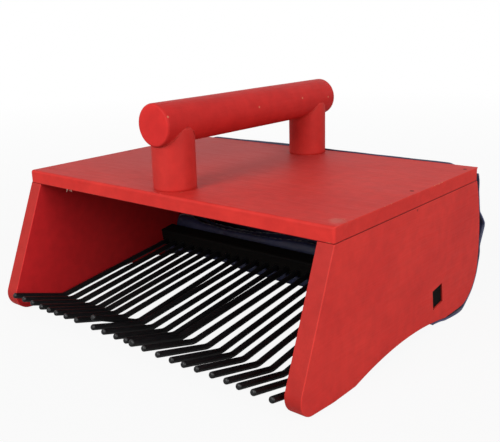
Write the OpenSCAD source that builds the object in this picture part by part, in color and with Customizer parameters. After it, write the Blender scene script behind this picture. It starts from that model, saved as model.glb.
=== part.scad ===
// Berry picker: a wooden scoop with a handle on its roof, a comb of wire tines along
// its floor and a cloth pouch behind the comb.
// The mouth looks along -Y, +Z is up, and the origin is on the ground under the middle
// of the whole picker.

/* [Hood] */
// Width over both side boards
body_w = 285; // [240:1:340]
// Depth of the top board, front to back
hood_depth = 192; // [160:1:230]
// Height of the side boards, from the ground to the underside of the top board
side_h = 97.5; // [82:0.5:117]
// Thickness of the top board
top_t = 10; // [8:0.5:14]
// Thickness of the side boards
side_t = 12; // [10:0.5:15]
// Forward lean of the front edges of the side boards, in degrees
lean = 21.8; // [16:0.1:26]
// Radius of the front lower corners of the side boards
front_round = 12; // [8:0.5:15]
// How far the toes lift in front of the flat feet
toe_lift = 1.5; // [0.5:0.1:3]
// Length of the flat foot under each side board
foot_len = 24; // [16:1:32]
// Height of the shallow arch between foot and heel
arch_rise = 6.6; // [3:0.1:9]
// Radius of the rear lower corners of the side boards
rear_round = 30; // [22:1:34]
// How far the side boards reach behind the top board
rear_reach = 9.5; // [6:0.5:14]
// Length of the straight heel in front of the rear corner
heel_len = 24; // [18:1:30]
// Bow of the rear edges of the side boards
rear_bow = 4; // [1:0.5:6]

/* [Handle] */
// Diameter of the handle
handle_d = 29.2; // [26:0.1:34]
// Length of the handle
handle_len = 193; // [170:1:220]
// Room for the knuckles, from the top board to the handle
knuckle_room = 30.5; // [25:0.5:40]
// Diameter of the two posts
post_d = 30; // [28:0.5:36]
// Distance between the middles of the posts
grip_len = 156; // [130:1:165]
// Distance from the front edge of the top board to the front post's middle
post_y = 19; // [17:0.5:26]
// How far the handle's front end stands in front of the front post's middle
handle_lead = 17.5; // [16:0.5:25]
// Rounding of the handle's ends
handle_ease = 2; // [1:0.5:4]

/* [Tine bar] */
// Side of the square bar that holds the tines
bar_side = 14.4; // [12:0.1:16]
// Distance from the rear edge of the top board to the bar's middle
bar_back = 59; // [52:1:66]
// Height of the bar's middle above the ground
bar_up = 24; // [20:0.5:28]
// Play of the bar in its mortises, on each side
mortise_play = 0.25; // [0.1:0.05:0.5]

/* [Tines] */
// Number of tines
tine_count = 24; // [16:1:26]
// Diameter of the tine wire
tine_d = 4.3; // [3.4:0.1:4.8]
// From the left side board to the middle of the first socket
first_gap = 5; // [4:0.5:8]
// From the last socket's middle to the right side board
last_gap = 9; // [5:0.5:14]
// How far the tines run below the bar's middle
tine_drop = 3; // [0:0.5:3.5]
// Distance of the bends behind the top board's front edge
bend_y = 8; // [0:0.5:20]
// Air between the bends and the ground
bend_clear = 0.3; // [0.1:0.1:2]
// Radius of the bends
bend_r = 14; // [8:0.5:20]
// Length of the front ends, from the bend to the tip
tip_len = 46.5; // [30:0.5:55]
// Rise of the first tine's front end from the ground, in degrees
left_rise = 17.5; // [8:0.5:22]
// Rise of the last tine's front end, in degrees
right_rise = 12.5; // [8:0.5:22]
// Depth of the sockets in the bar
socket_depth = 9; // [6:0.5:10]
// Play of a tine in its socket, on each side
socket_play = 0.05; // [0.02:0.01:0.1]

/* [Hand-set tines] */
// How far the bends stray to the side, as a share of the gap between two tines
stray = 0.37; // [0:0.01:0.4]
// The tine that has been knocked up and to the right
knocked_tine = 9; // [1:1:26]
// How far its bend is knocked aside, as a share of the gap
knocked_aside = 0.72; // [0:0.01:0.8]
// How far its front end is knocked up, in degrees
knocked_up = 8; // [0:0.5:12]
// The tine that has been pushed to the left
pushed_tine = 14; // [1:1:26]
// How far its bend is pushed aside, as a share of the gap
pushed_aside = 0.25; // [0:0.01:0.3]
// Air between the first tine's tip and the left side board
wall_play = 0.5; // [0.3:0.1:1]

/* [Cloth] */
// Thickness of the folded cloth
cloth_t = 1.2; // [0.8:0.1:1.6]
// Air between cloth and wood
cloth_gap = 0.3; // [0.2:0.05:0.4]
// How far the cloth starts in front of the bar's middle, under the side boards
cloth_lead = 9; // [4:0.5:14]
// How far the free hem hangs below the bar
hem_hang = 6.5; // [3:0.5:8]
// How far the pouch sags behind the side boards
pouch_sag = 9; // [3:0.5:14]
// Depth of the upright folds in the pouch
fold_depth = 2.5; // [0:0.5:4]
// Width of one upright fold
fold_w = 62; // [40:1:90]
// How far the pleat at the right rear edge stands out
pleat_out = 8; // [0:0.5:10]
// Height of that pleat above the ground
pleat_z = 54; // [45:1:65]
// How far the top hem stands above the top board
top_stand = 2.4; // [0.5:0.1:4]

/* [Fasteners] */
// Diameter of the nails in the top board
nail_d = 2; // [1.6:0.1:2.5]
// Diameter of their heads
nail_head_d = 3.2; // [3:0.1:5]
// Length of the nails
nail_len = 38; // [28:1:45]
// Distance of the nails from the side of the top board
nail_in = 5; // [4:0.5:6]
// Distance of the first nail from the front edge
nail_y = 17; // [12:1:24]
// Distance of the last nail from the rear edge
nail_back = 12; // [11:1:20]
// Number of nails along each side
nails_a_side = 3; // [2:1:5]
// Diameter of the handle screws
screw_d = 4.5; // [4:0.5:6]
// Length of the handle screws
screw_len = 60; // [54:1:64]
// Diameter of the tacks' shanks
tack_d = 1.5; // [1.2:0.1:1.8]
// Diameter of the tacks' heads
tack_head_d = 6; // [4.5:0.5:8]
// Length of the tacks
tack_len = 9; // [7:0.5:10]
// Number of tacks along the top hem
top_tacks = 8; // [4:1:12]
// Number of tacks under the tine bar
bar_tacks = 7; // [3:1:9]

/* [Hidden] */
$fn = 64;
inner = body_w / 2 - side_t;
top_z = side_h + top_t;
handle_z = top_z + knuckle_room + handle_d / 2;
handle_y0 = post_y - handle_lead;
post_ys = [post_y, post_y + grip_len];
joint_gap = 0.05;
saddle_drop = 2;

bar_y = hood_depth - bar_back;
bend_up = tine_d / 2 + bend_clear;
tine_dy = bar_y - bend_y;
tine_dz = bar_up - bend_up;
tine_reach = norm([tine_dy, tine_dz]);
bar_tilt = atan2(tine_dz, tine_dy) - asin(tine_drop / tine_reach);
run_len = sqrt(tine_reach * tine_reach - tine_drop * tine_drop) - bar_side / 2;
tine_pitch = (2 * inner - first_gap - last_gap) / (tine_count - 1);
tine_gap = tine_pitch - tine_d;
tip_ease = tine_d / 4;

heel_z = 2.4;
rear_y = hood_depth + rear_reach;
corner_y = rear_y - rear_round;
heel_y = corner_y - heel_len;
toe_y = (front_round + (front_round + toe_lift - side_h) * sin(lean)) / cos(lean);
cloth_y = bar_y - cloth_lead;

nail_head_t = 1;
nail_point = 3;
screw_head_d = 2 * screw_d;
screw_head_t = screw_d / 2;
screw_point = 5;
tack_head_t = 0.8;
tack_in = (body_w - side_t) / 2;
tack_z = side_h + top_t / 2;
tack_bar_y = bar_side / 2 - 4;
tack_lift = 0.15;
tack_point = 3;
bend_swell = 0.04;
bend_lap = 0.2;

// Points on the profiles, each [y, z] in the frame of the top board's front edge
function arc(c, r, from, to, n) =
    [for (k = [0 : n]) c + r * [cos(from + (to - from) * k / n), sin(from + (to - from) * k / n)]];
function side_of(p, q) = [p[1] - q[1], q[0] - p[0]] / norm(q - p);
function bow_point(p, q, rise, t) = p + (q - p) * t + side_of(p, q) * 4 * rise * t * (1 - t);
function bow(p, q, rise, from, to, n) =
    [for (k = [0 : n]) bow_point(p, q, rise, from + (to - from) * k / n)];

foot_end = [foot_len, 0];
heel_start = [heel_y, heel_z];
corner_c = [corner_y, heel_z + rear_round];
back_low = [rear_y, heel_z + rear_round];
back_high = [hood_depth, side_h];
cloth_from = (cloth_y - foot_len) / (heel_y - foot_len);

// The sockets are evenly spaced, and each hand-set tine leans to one side a little
function tine_x(i) = -inner + first_gap + tine_pitch * (i - 1);
function lean_share(i) = -stray * (sin(360 * i / 34 + 322) + sin(360 * i / 6 - 15 * i / 4 - 15) / 4
    - sin(360 * i / 4.16 + 88) * 3 / 8)
    + (i == knocked_tine ? knocked_aside : 0) - (i == pushed_tine ? pushed_aside : 0);
// The first tine leans only as far as the side board lets its tip
first_lean = -(first_gap - tine_d / 2 - wall_play) * run_len / (run_len + tip_len);
function tine_lean(i) = asin((i == 1 ? first_lean : tine_gap * lean_share(i)) / run_len);
function tine_long(i) = tip_len + 0.8 * sin(360 * i / 11.7 - 44) + 0.6 * sin(360 * i / 5.84 + 142);
function tip_rise(i) = left_rise + (right_rise - left_rise) * (i - 1) / (tine_count - 1)
    + (i == knocked_tine ? knocked_up : 0);
function bend_turn(i) = bar_tilt + tip_rise(i);
function bend_cut(i) = bend_r * tan(bend_turn(i) / 2);
// The foremost point of a tine: the middle of its end, then the round end about it
function front_end(i, long) = [run_len * cos(tine_lean(i)) + long * cos(bend_turn(i)) * cos(tine_lean(i)),
    long * sin(bend_turn(i))];
function bar_to_y(p) = bar_y - (bar_side / 2 + p[0]) * cos(bar_tilt) - (p[1] - tine_drop) * sin(bar_tilt);
function ahead(i) = cos(bend_turn(i)) * cos(tine_lean(i)) * cos(bar_tilt) + sin(bend_turn(i)) * sin(bar_tilt);
function tine_tip_y(i) = bar_to_y(front_end(i, tine_long(i) - tip_ease))
    - (tine_d / 2 - tip_ease) * sqrt(1 - pow(ahead(i), 2)) - tip_ease;

// The cloth is a grid of rows, front to back and up, and columns, left to right
corner_steps = 8;
back_steps = 9;
arch_steps = 4;
cloth_path = concat(
    bow(foot_end, heel_start, arch_rise, cloth_from, 1, arch_steps),
    [heel_start + [heel_len / 3, 0], heel_start + [heel_len * 2 / 3, 0]],
    arc(corner_c, rear_round, -90, 0, corner_steps),
    [for (k = [1 : back_steps]) bow_point(back_low, back_high, -rear_bow, k / back_steps)],
    [[hood_depth, side_h + top_t / 2], [hood_depth, top_z], [hood_depth, top_z + top_stand]]);
rows = len(cloth_path);
flat_rows = [arch_steps, arch_steps + 3];
hem_row = rows - 1;
half_cols = concat([for (k = [0 : 7]) (inner - 3.5) * k / 7], [inner, inner + side_t / 2, body_w / 2]);
half_n = len(half_cols) - 1;
cols = 2 * half_n + 1;
function col_x(c) = c < half_n ? -half_cols[half_n - c] : half_cols[c - half_n];
function over_wood(c) = abs(c - half_n) > 7;
function row_dir(k) = k == 0 ? cloth_path[1] - cloth_path[0]
    : k == rows - 1 ? cloth_path[k] - cloth_path[k - 1]
    : cloth_path[k + 1] - cloth_path[k - 1];
function row_out(k) = [row_dir(k)[1], -row_dir(k)[0]] / norm(row_dir(k));
function bump(x, at, w) = exp(-pow((x - at) / w, 2));
// The part of the height, from 0 at the bar to 1 at the top hem, where the pouch can sag
function slack(k) = sin(180 * max(0, min(1, (k - flat_rows[0]) / (rows - 4 - flat_rows[0]))));
function pleat(x, k) = pleat_out * bump(cloth_path[k][1], pleat_z, 9) * bump(x, body_w / 2, 30);
function sag(x, k) = slack(k) * (1 - pow(x / inner, 2))
    * (pouch_sag + fold_depth * cos(360 * x / fold_w + 70));
function settle(k) = k >= flat_rows[0] && k <= flat_rows[1] ? heel_z - cloth_gap - cloth_t : 0;
function outward(c, k) = settle(k) + pleat(col_x(c), k) + (over_wood(c) ? 0 : sag(col_x(c), k));
// Top hem: highest in the middle, level with the top board at the sides
function hem_top(x, k) = k == hem_row ? -top_stand * pow(2 * x / body_w, 2) : 0;
// Under the bar the cloth leaves the boards and follows the bar's underside
function tilted(p) = [bar_y + p[0] * cos(bar_tilt) - p[1] * sin(bar_tilt),
    bar_up + p[0] * sin(bar_tilt) + p[1] * cos(bar_tilt)];
under_bar = -bar_side / 2 - cloth_gap - cloth_t / 2;
function hang(x) = hem_hang + 2.2 * sin(360 * (x + 15) / 145 + 90);
function bar_rows(x, k) = k == 0 ? tilted([-bar_side / 2 - cloth_t, under_bar - hang(x)])
    : k == 1 ? tilted([-bar_side / 2, under_bar])
    : k == 2 ? tilted([0, under_bar])
    : k == 3 ? tilted([bar_side / 2, under_bar])
    : tilted([bar_side / 2 + 6, under_bar - 8]);
function on_ground(p) = [p[0], max(p[1], cloth_t / 2)];
function cloth_mid(c, k) = !over_wood(c) && k < 5 ? bar_rows(col_x(c), k)
    : on_ground(cloth_path[k] + row_out(k) * (cloth_gap + cloth_t / 2 + outward(c, k))
        + [0, hem_top(col_x(c), k)]);
function mid_dir(c, k) = k == 0 ? cloth_mid(c, 1) - cloth_mid(c, 0)
    : k == rows - 1 ? cloth_mid(c, k) - cloth_mid(c, k - 1)
    : cloth_mid(c, k + 1) - cloth_mid(c, k - 1);
function mid_out(c, k) = [mid_dir(c, k)[1], -mid_dir(c, k)[0]] / norm(mid_dir(c, k));
function cloth_skin(c, k, side) = cloth_mid(c, k) + side * cloth_t / 2
    * (over_wood(c) ? row_out(k) : mid_out(c, k));
function cloth_point(c, k, side) = [col_x(c), cloth_skin(c, k, side)[0],
    max(cloth_skin(c, k, side)[1], side > 0 ? 0 : cloth_t)];
rear_most = max([for (c = [0 : cols - 1], k = [0 : rows - 1]) cloth_skin(c, k, 1)[0]]);
front_most = min([for (i = [1 : tine_count]) tine_tip_y(i)]);
mid_y = (rear_most + front_most) / 2;

tine_names = [for (i = [1 : tine_count]) str("tine_", i < 10 ? "0" : "", i)];

// Moves a piece from the frame of the top board's front edge to the middle of the picker
module place() { translate([0, -mid_y, 0]) children(); }

// Puts a piece into the frame of the tilted tine bar
module on_bar() { translate([0, bar_y, bar_up]) rotate([bar_tilt, 0, 0]) children(); }

// Puts a piece at the mouth of a tine's socket, with -Y along the tine
module at_socket(i) {
    on_bar() translate([tine_x(i), -bar_side / 2, -tine_drop]) rotate([0, 0, tine_lean(i)]) children();
}

// A round rod along +Z with eased ends
module rod(d, len, low_ease, high_ease) {
    rotate_extrude() {
        translate([0, low_ease]) square([d / 2, len - low_ease - high_ease]);
        square([d / 2 - low_ease, len / 2]);
        translate([0, len / 2]) square([d / 2 - high_ease, len / 2]);
        if (low_ease > 0) intersection() {
            translate([d / 2 - low_ease, low_ease]) circle(low_ease);
            square([d, len]);
        }
        if (high_ease > 0) intersection() {
            translate([d / 2 - high_ease, len - high_ease]) circle(high_ease);
            square([d, len]);
        }
    }
}

// Nails in the top board
module nail_places() {
    for (s = [-1, 1], k = [0 : nails_a_side - 1])
        translate([s * (body_w / 2 - nail_in),
            nail_y + (hood_depth - nail_y - nail_back) * k / (nails_a_side - 1), top_z])
            children();
}
module nail_shape() {
    translate([0, 0, -nail_head_t]) cylinder(h = nail_head_t, d = nail_head_d);
    translate([0, 0, nail_point - nail_len])
        cylinder(h = nail_len - nail_point - nail_head_t, d = nail_d);
    translate([0, 0, -nail_len]) cylinder(h = nail_point, d1 = 0.4, d2 = nail_d);
}
module top_board_nails() { color("dimgray") place() nail_places() nail_shape(); }

// Countersunk screws from below, through the posts and into the handle
module screw_places() { for (y = post_ys) translate([0, y, side_h]) children(); }
module screw_shape(play) {
    cylinder(h = screw_head_t, d1 = screw_head_d + 2 * play, d2 = screw_d + 2 * play);
    translate([0, 0, screw_head_t])
        cylinder(h = screw_len - screw_head_t - screw_point, d = screw_d + 2 * play);
    translate([0, 0, screw_len - screw_point])
        cylinder(h = screw_point, d1 = screw_d + 2 * play, d2 = 0.5);
}
module handle_screws() { color("silver") place() screw_places() screw_shape(0); }

// Tacks: the head lies on the cloth, and the shank goes along +Z through it into the wood
module tack_shape() {
    translate([0, 0, -cloth_gap - cloth_t - tack_lift - tack_head_t])
        cylinder(h = tack_head_t, d = tack_head_d);
    translate([0, 0, -cloth_gap - cloth_t - tack_lift])
        cylinder(h = tack_len - tack_point, d = tack_d);
    translate([0, 0, tack_len - tack_point - cloth_gap - cloth_t - tack_lift])
        cylinder(h = tack_point, d1 = tack_d, d2 = 0.3);
}
module tack_hole() { translate([0, 0, -tack_len]) cylinder(h = 2 * tack_len, d = tack_d); }
module at_edge(x, p, out) {
    translate([x, p[0], p[1]]) rotate([90 + atan2(out[1], out[0]), 0, 0]) children();
}
module top_tack_places() {
    span = body_w - 2 * 16.5;
    for (k = [0 : top_tacks - 1])
        at_edge(-span / 2 + span * k / (top_tacks - 1), [hood_depth, tack_z], [1, 0]) children();
}
function bow_out(p, q, rise, t) =
    -side_of(bow_point(p, q, rise, t - 0.01), bow_point(p, q, rise, t + 0.01));
module edge_tack_places(s) {
    for (f = [0.15, 0.6]) {
        t = cloth_from + (1 - cloth_from) * f;
        at_edge(s * tack_in, bow_point(foot_end, heel_start, arch_rise, t),
            bow_out(foot_end, heel_start, arch_rise, t)) children();
    }
    for (a = [-56.25, -33.75, -6])
        at_edge(s * tack_in, corner_c + rear_round * [cos(a), sin(a)], [cos(a), sin(a)]) children();
    for (t = [6, 8] / back_steps)
        at_edge(s * tack_in, bow_point(back_low, back_high, -rear_bow, t),
            bow_out(back_low, back_high, -rear_bow, t)) children();
}
module bar_tack_places() {
    span = 2 * inner - 50;
    for (k = [0 : bar_tacks - 1])
        on_bar() translate([-span / 2 + span * k / (bar_tacks - 1), tack_bar_y, -bar_side / 2]) children();
}
module top_edge_tacks() { color("dimgray") place() top_tack_places() tack_shape(); }
module left_edge_tacks() { color("dimgray") place() edge_tack_places(-1) tack_shape(); }
module right_edge_tacks() { color("dimgray") place() edge_tack_places(1) tack_shape(); }
module tine_bar_tacks() { color("dimgray") place() bar_tack_places() tack_shape(); }

// Wooden parts
module top_board() {
    color("firebrick") place() difference() {
        translate([-body_w / 2, 0, side_h]) cube([body_w, hood_depth, top_t]);
        nail_places() nail_shape();
        screw_places() screw_shape(joint_gap);
        top_tack_places() tack_shape();
    }
}
module side_profile() {
    polygon(concat(
        [[0, side_h]],
        arc([toe_y, front_round + toe_lift], front_round, 180 - lean, 270, 10),
        [[0, 0]],
        bow(foot_end, heel_start, arch_rise, 0, 1, 16),
        arc(corner_c, rear_round, -90, 0, 16),
        [for (k = [1 : 12]) bow_point(back_low, back_high, -rear_bow, k / 12)]));
}
module side_board(s) {
    color("firebrick") place() difference() {
        translate([s > 0 ? inner : -body_w / 2, 0, 0])
            rotate([90, 0, 90]) linear_extrude(side_t) side_profile();
        on_bar() cube([2 * body_w, bar_side + 2 * mortise_play, bar_side + 2 * mortise_play], center = true);
        nail_places() nail_shape();
        edge_tack_places(s) tack_shape();
    }
}
module left_side_board() { side_board(-1); }
module right_side_board() { side_board(1); }
module handle_bar() {
    color("firebrick") place() difference() {
        translate([0, handle_y0, handle_z]) rotate([-90, 0, 0])
            rod(handle_d, handle_len, handle_ease, handle_ease);
        screw_places() screw_shape(joint_gap);
    }
}
module handle_post(y) {
    color("firebrick") place() difference() {
        translate([0, y, top_z]) cylinder(h = handle_z - saddle_drop - top_z, d = post_d);
        translate([0, y - post_d, handle_z]) rotate([-90, 0, 0])
            cylinder(h = 2 * post_d, d = handle_d + 2 * joint_gap);
        screw_places() screw_shape(joint_gap);
    }
}
module front_handle_post() { handle_post(post_ys[0]); }
module rear_handle_post() { handle_post(post_ys[1]); }
module tine_bar() {
    color([0.12, 0.09, 0.08]) place() difference() {
        on_bar() cube([body_w, bar_side, bar_side], center = true);
        for (i = [1 : tine_count]) at_socket(i) translate([0, socket_depth, 0]) rotate([90, 0, 0])
            cylinder(h = 2 * socket_depth, d = tine_d + 2 * socket_play);
        bar_tack_places() tack_shape();
    }
}

// One tine: a straight run out of the bar, a bend near the ground and a rising front end.
// The bend is a hair thicker than the straight wire, so that each lap ends on a clean shoulder.
module tine(i) {
    run = run_len - bend_cut(i) + socket_depth - joint_gap;
    color([0.08, 0.08, 0.09]) place() at_socket(i) {
        translate([0, socket_depth - joint_gap, 0]) rotate([90, 0, 0])
            cylinder(h = run + bend_lap, d = tine_d);
        translate([0, bend_cut(i) - run_len, bend_r]) rotate([0, 0, 180]) rotate([0, 90, 0])
            rotate_extrude(angle = bend_turn(i)) translate([bend_r, 0]) circle(d = tine_d + bend_swell);
        translate([0, -run_len, 0]) rotate([90 - bend_turn(i), 0, 0])
            translate([0, 0, bend_cut(i) - bend_lap])
                rod(tine_d, tine_long(i) - bend_cut(i) + bend_lap, 0, tip_ease);
    }
}

// The cloth: one closed sheet of triangles between its inner and outer skins
function grid(c, k, side) = (side > 0 ? 0 : cols * rows) + c * rows + k;
function two(a, b, c, d) = [[a, b, c], [a, c, d]];
module cloth_sheet() {
    points = concat([for (c = [0 : cols - 1], k = [0 : rows - 1]) cloth_point(c, k, 1)],
        [for (c = [0 : cols - 1], k = [0 : rows - 1]) cloth_point(c, k, -1)]);
    outer = [for (c = [0 : cols - 2], k = [0 : rows - 2])
        each two(grid(c, k, 1), grid(c, k + 1, 1), grid(c + 1, k + 1, 1), grid(c + 1, k, 1))];
    inside = [for (c = [0 : cols - 2], k = [0 : rows - 2])
        each two(grid(c, k, -1), grid(c + 1, k, -1), grid(c + 1, k + 1, -1), grid(c, k + 1, -1))];
    ends = [for (k = [0 : rows - 2]) each concat(
        two(grid(0, k, 1), grid(0, k, -1), grid(0, k + 1, -1), grid(0, k + 1, 1)),
        two(grid(cols - 1, k, -1), grid(cols - 1, k, 1), grid(cols - 1, k + 1, 1), grid(cols - 1, k + 1, -1)))];
    hems = [for (c = [0 : cols - 2]) each concat(
        two(grid(c, 0, -1), grid(c, 0, 1), grid(c + 1, 0, 1), grid(c + 1, 0, -1)),
        two(grid(c, rows - 1, 1), grid(c, rows - 1, -1), grid(c + 1, rows - 1, -1), grid(c + 1, rows - 1, 1)))];
    polyhedron(points, concat(outer, inside, ends, hems));
}
module pouch_cloth() {
    color([0.08, 0.09, 0.18]) place() difference() {
        cloth_sheet();
        top_tack_places() tack_hole();
        edge_tack_places(-1) tack_hole();
        edge_tack_places(1) tack_hole();
        bar_tack_places() tack_hole();
    }
}

top_board();
left_side_board();
right_side_board();
handle_bar();
front_handle_post();
rear_handle_post();
tine_bar();
top_board_nails();
handle_screws();
pouch_cloth();
top_edge_tacks();
left_edge_tacks();
right_edge_tacks();
tine_bar_tacks();
for (i = [1 : tine_count]) tine(i);
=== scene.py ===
# %% [markdown]
# # A berry picker
# A berry picker is a wooden scoop. The hand swings it by the handle on its roof, the comb of
# wire tines strips the berries off their stalks, and the cloth pouch behind the comb keeps them.
# The construction is already there: it was drawn at its real size and packed, and it is the
# fixed frame of this lesson. Here each part gets its finish, and the parts that a drawing keeps
# plain, such as the cloth, get their real form.

# %% Load the frame
import math
import bmesh
import bpy
import numpy as np
from mathutils import Matrix, Vector, noise


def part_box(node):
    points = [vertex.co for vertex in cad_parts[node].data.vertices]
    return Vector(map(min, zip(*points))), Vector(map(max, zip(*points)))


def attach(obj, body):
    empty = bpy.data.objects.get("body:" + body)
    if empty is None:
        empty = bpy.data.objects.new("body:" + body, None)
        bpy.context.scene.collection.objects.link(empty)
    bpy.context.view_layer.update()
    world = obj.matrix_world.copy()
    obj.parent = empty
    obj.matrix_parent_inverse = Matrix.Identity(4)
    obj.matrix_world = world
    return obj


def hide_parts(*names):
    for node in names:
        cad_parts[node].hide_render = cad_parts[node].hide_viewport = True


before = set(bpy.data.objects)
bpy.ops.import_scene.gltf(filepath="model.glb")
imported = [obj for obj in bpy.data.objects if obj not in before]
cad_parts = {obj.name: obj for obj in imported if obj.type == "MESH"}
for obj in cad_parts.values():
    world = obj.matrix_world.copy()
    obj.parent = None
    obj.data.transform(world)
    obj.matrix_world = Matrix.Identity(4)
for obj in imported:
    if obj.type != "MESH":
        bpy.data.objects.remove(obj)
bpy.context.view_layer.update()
MM = 0.001
print("The packed model holds", len(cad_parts), "nodes")

# %% [markdown]
# ## Where things are
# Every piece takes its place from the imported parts, so nothing is fitted by eye. The top board's
# box gives the front edge, the side boards give the inner width, and so on. All lengths are in
# metres, and MM turns a drawing's millimetres into them. Two places that are closer than SAME_PLACE
# count as one, and points that are closer than JOINED are joined.

# %% Places read from the frame
top_low, top_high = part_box("top_board")
front_y, back_y = top_low.y, top_high.y
half_width = top_high.x
inner_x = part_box("right_side_board")[0].x
SAME_PLACE = 1e-5
JOINED = 1e-6
print("Width", round(2 * half_width / MM), "mm, between the side boards", round(2 * inner_x / MM), "mm")

# %% [markdown]
# ## The camera
# The photograph looks down on the picker from its front right corner. A lens can be given in
# millimetres on a 36 mm wide sensor: the photograph is 500 pixels wide and its focal length is
# 736 of those pixels. The camera looks from its own place towards a point, and rolls a little.

# %% The camera
PHOTO_WIDTH = 500
FOCAL_PIXELS = 736.4
CENTRE_ROW, OPTICAL_ROW = 221, 217.5
CAMERA_PLACE = (356 * MM, front_y - 326 * MM, 221.5 * MM)
CAMERA_WAY = (-0.6200, 0.7378, -0.2670)
CAMERA_ROLL = math.radians(-1.57)


def aim(thing, place, direction, roll=0.0):
    """Puts a camera or a lamp at a place, looking along a direction."""
    turn = Vector(direction).to_track_quat("-Z", "Y").to_matrix().to_4x4()
    thing.matrix_world = Matrix.Translation(place) @ turn @ Matrix.Rotation(roll, 4, "Z")


camera_data = bpy.data.cameras.new("photo_camera")
camera_data.sensor_width = 36
camera_data.lens = 36 * FOCAL_PIXELS / PHOTO_WIDTH
camera_data.shift_y = (OPTICAL_ROW - CENTRE_ROW) / PHOTO_WIDTH
camera = bpy.data.objects.new("photo_camera", camera_data)
bpy.context.collection.objects.link(camera)
aim(camera, CAMERA_PLACE, CAMERA_WAY, CAMERA_ROLL)
bpy.context.scene.camera = camera
bpy.context.scene.view_settings.view_transform = "Standard"
print("Lens", round(camera_data.lens, 1), "mm")

# %% [markdown]
# ## Nodes in a few words
# Materials and Geometry Nodes are both made of nodes with sockets. One helper makes a node, sets
# what is fixed and links what comes from another node, so that a tree reads like a recipe.
# A second helper starts a group: a tree with named inputs and outputs that can be used in
# several places, each time with other values. The last ones place such a group in a material, and
# start a new material.

# %% Helpers for node trees
def fill(tree, sockets, values):
    """Gives sockets their values: a number is set, and another node's output is linked."""
    for key, value in values.items():
        if isinstance(value, bpy.types.NodeSocket):
            tree.links.new(value, sockets[key])
        else:
            sockets[key].default_value = value


def add(tree, kind, values=None, **settings):
    """Makes a node with its settings and its sockets' values."""
    made = tree.nodes.new(kind)
    for key, value in settings.items():
        setattr(made, key, value)
    fill(tree, made.inputs, values or {})
    return made


def new_group(name, kind, inputs, outputs):
    """A group's tree, its inputs and its output node."""
    tree = bpy.data.node_groups.new(name, kind)
    for label, socket_kind, value in inputs:
        socket = tree.interface.new_socket(label, in_out="INPUT", socket_type="NodeSocket" + socket_kind)
        if value is not None:
            socket.default_value = value
    for label, socket_kind in outputs:
        tree.interface.new_socket(label, in_out="OUTPUT", socket_type="NodeSocket" + socket_kind)
    return tree, add(tree, "NodeGroupInput").outputs, add(tree, "NodeGroupOutput")


def use_group(tree, group, values):
    """Places a shader group in a material."""
    return add(tree, "ShaderNodeGroup", values, node_tree=group).outputs


def new_finish(name):
    """A material, its tree and its main shader."""
    material = bpy.data.materials.new(name)
    material.use_nodes = True
    return material, material.node_tree, material.node_tree.nodes["Principled BSDF"]


# %% [markdown]
# The arithmetic between nodes is short to write with a few more helpers: one for any step, three for
# the commonest steps, one that mixes two colours and one that stretches a range of values over another.

# %% Helpers for arithmetic and colours
def math_of(tree, operation, a, b=0.0):
    """One step of arithmetic."""
    return add(tree, "ShaderNodeMath", {0: a, 1: b}, operation=operation).outputs[0]


def times(tree, a, b):
    """Two values multiplied."""
    return math_of(tree, "MULTIPLY", a, b)


def plus(tree, a, b):
    """Two values added."""
    return math_of(tree, "ADD", a, b)


def minus(tree, a, b):
    """The second value taken from the first."""
    return math_of(tree, "SUBTRACT", a, b)


def vector_of(tree, operation, a, b):
    """One step of arithmetic on vectors, as the node that makes it."""
    return add(tree, "ShaderNodeVectorMath", {0: a, 1: b}, operation=operation)


def mixed(tree, factor, a, b, blend="MIX"):
    """Mixes two colours."""
    made = add(tree, "ShaderNodeMix", data_type="RGBA", blend_type=blend)
    fill(tree, made.inputs, {0: factor, 6: a, 7: b})
    return made.outputs[2]


def darkened(tree, colour, share):
    """A colour at a share of its brightness."""
    shade = add(tree, "ShaderNodeCombineXYZ", {0: share, 1: share, 2: share}).outputs[0]
    return mixed(tree, 1.0, colour, shade, "MULTIPLY")


def soft_noise(tree, vector, scale, detail):
    """A cloudy pattern of values between 0 and 1."""
    return add(tree, "ShaderNodeTexNoise", {"Vector": vector, "Scale": scale, "Detail": detail}).outputs[0]


def spread(tree, value, low, high, to_low=0.0, to_high=1.0):
    """Stretches one range of values over another, and stops at its ends."""
    return add(tree, "ShaderNodeMapRange", {0: value, 1: low, 2: high, 3: to_low, 4: to_high}).outputs[0]


def srgb(red, green, blue):
    """A colour as a picture gives it, from 0 to 255, in the renderer's own scale."""
    def linear(c):
        c /= 255
        return c / 12.92 if c <= 0.04045 else ((c + 0.055) / 1.055) ** 2.4
    return (linear(red), linear(green), linear(blue), 1.0)


# %% [markdown]
# ## Effects that several finishes share
# Brushed paint shows the grain of the wood and the marks of the brush. A photograph of painted wood
# could be stretched over the boards, but a pattern that is worked out stays sharp and fits every
# piece. So grain and brush marks are noise, drawn out along the length of the wood. Each effect here
# is a group with named inputs, and each material places it with its own values.

# %% Grain and brush marks
GRAIN_TURNS = {"X": (0, 0, 0), "Y": (0, 0, math.pi / 2), "Z": (0, math.pi / 2, 0)}
grain_group, given, result = new_group(
    "Grain and brush marks", "ShaderNodeTree",
    [("Vector", "Vector", None), ("Grain width", "Float", 0.0022), ("Brush width", "Float", 0.0009)],
    [("Grain", "Float"), ("Brush", "Float"), ("Clouds", "Float")])


def along_grain(tree, place, axis):
    """Places turned so that the grain, which runs along an axis, runs along X."""
    turn = GRAIN_TURNS[axis]
    return add(tree, "ShaderNodeMapping", {"Vector": place, "Rotation": turn}).outputs[0]


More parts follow.
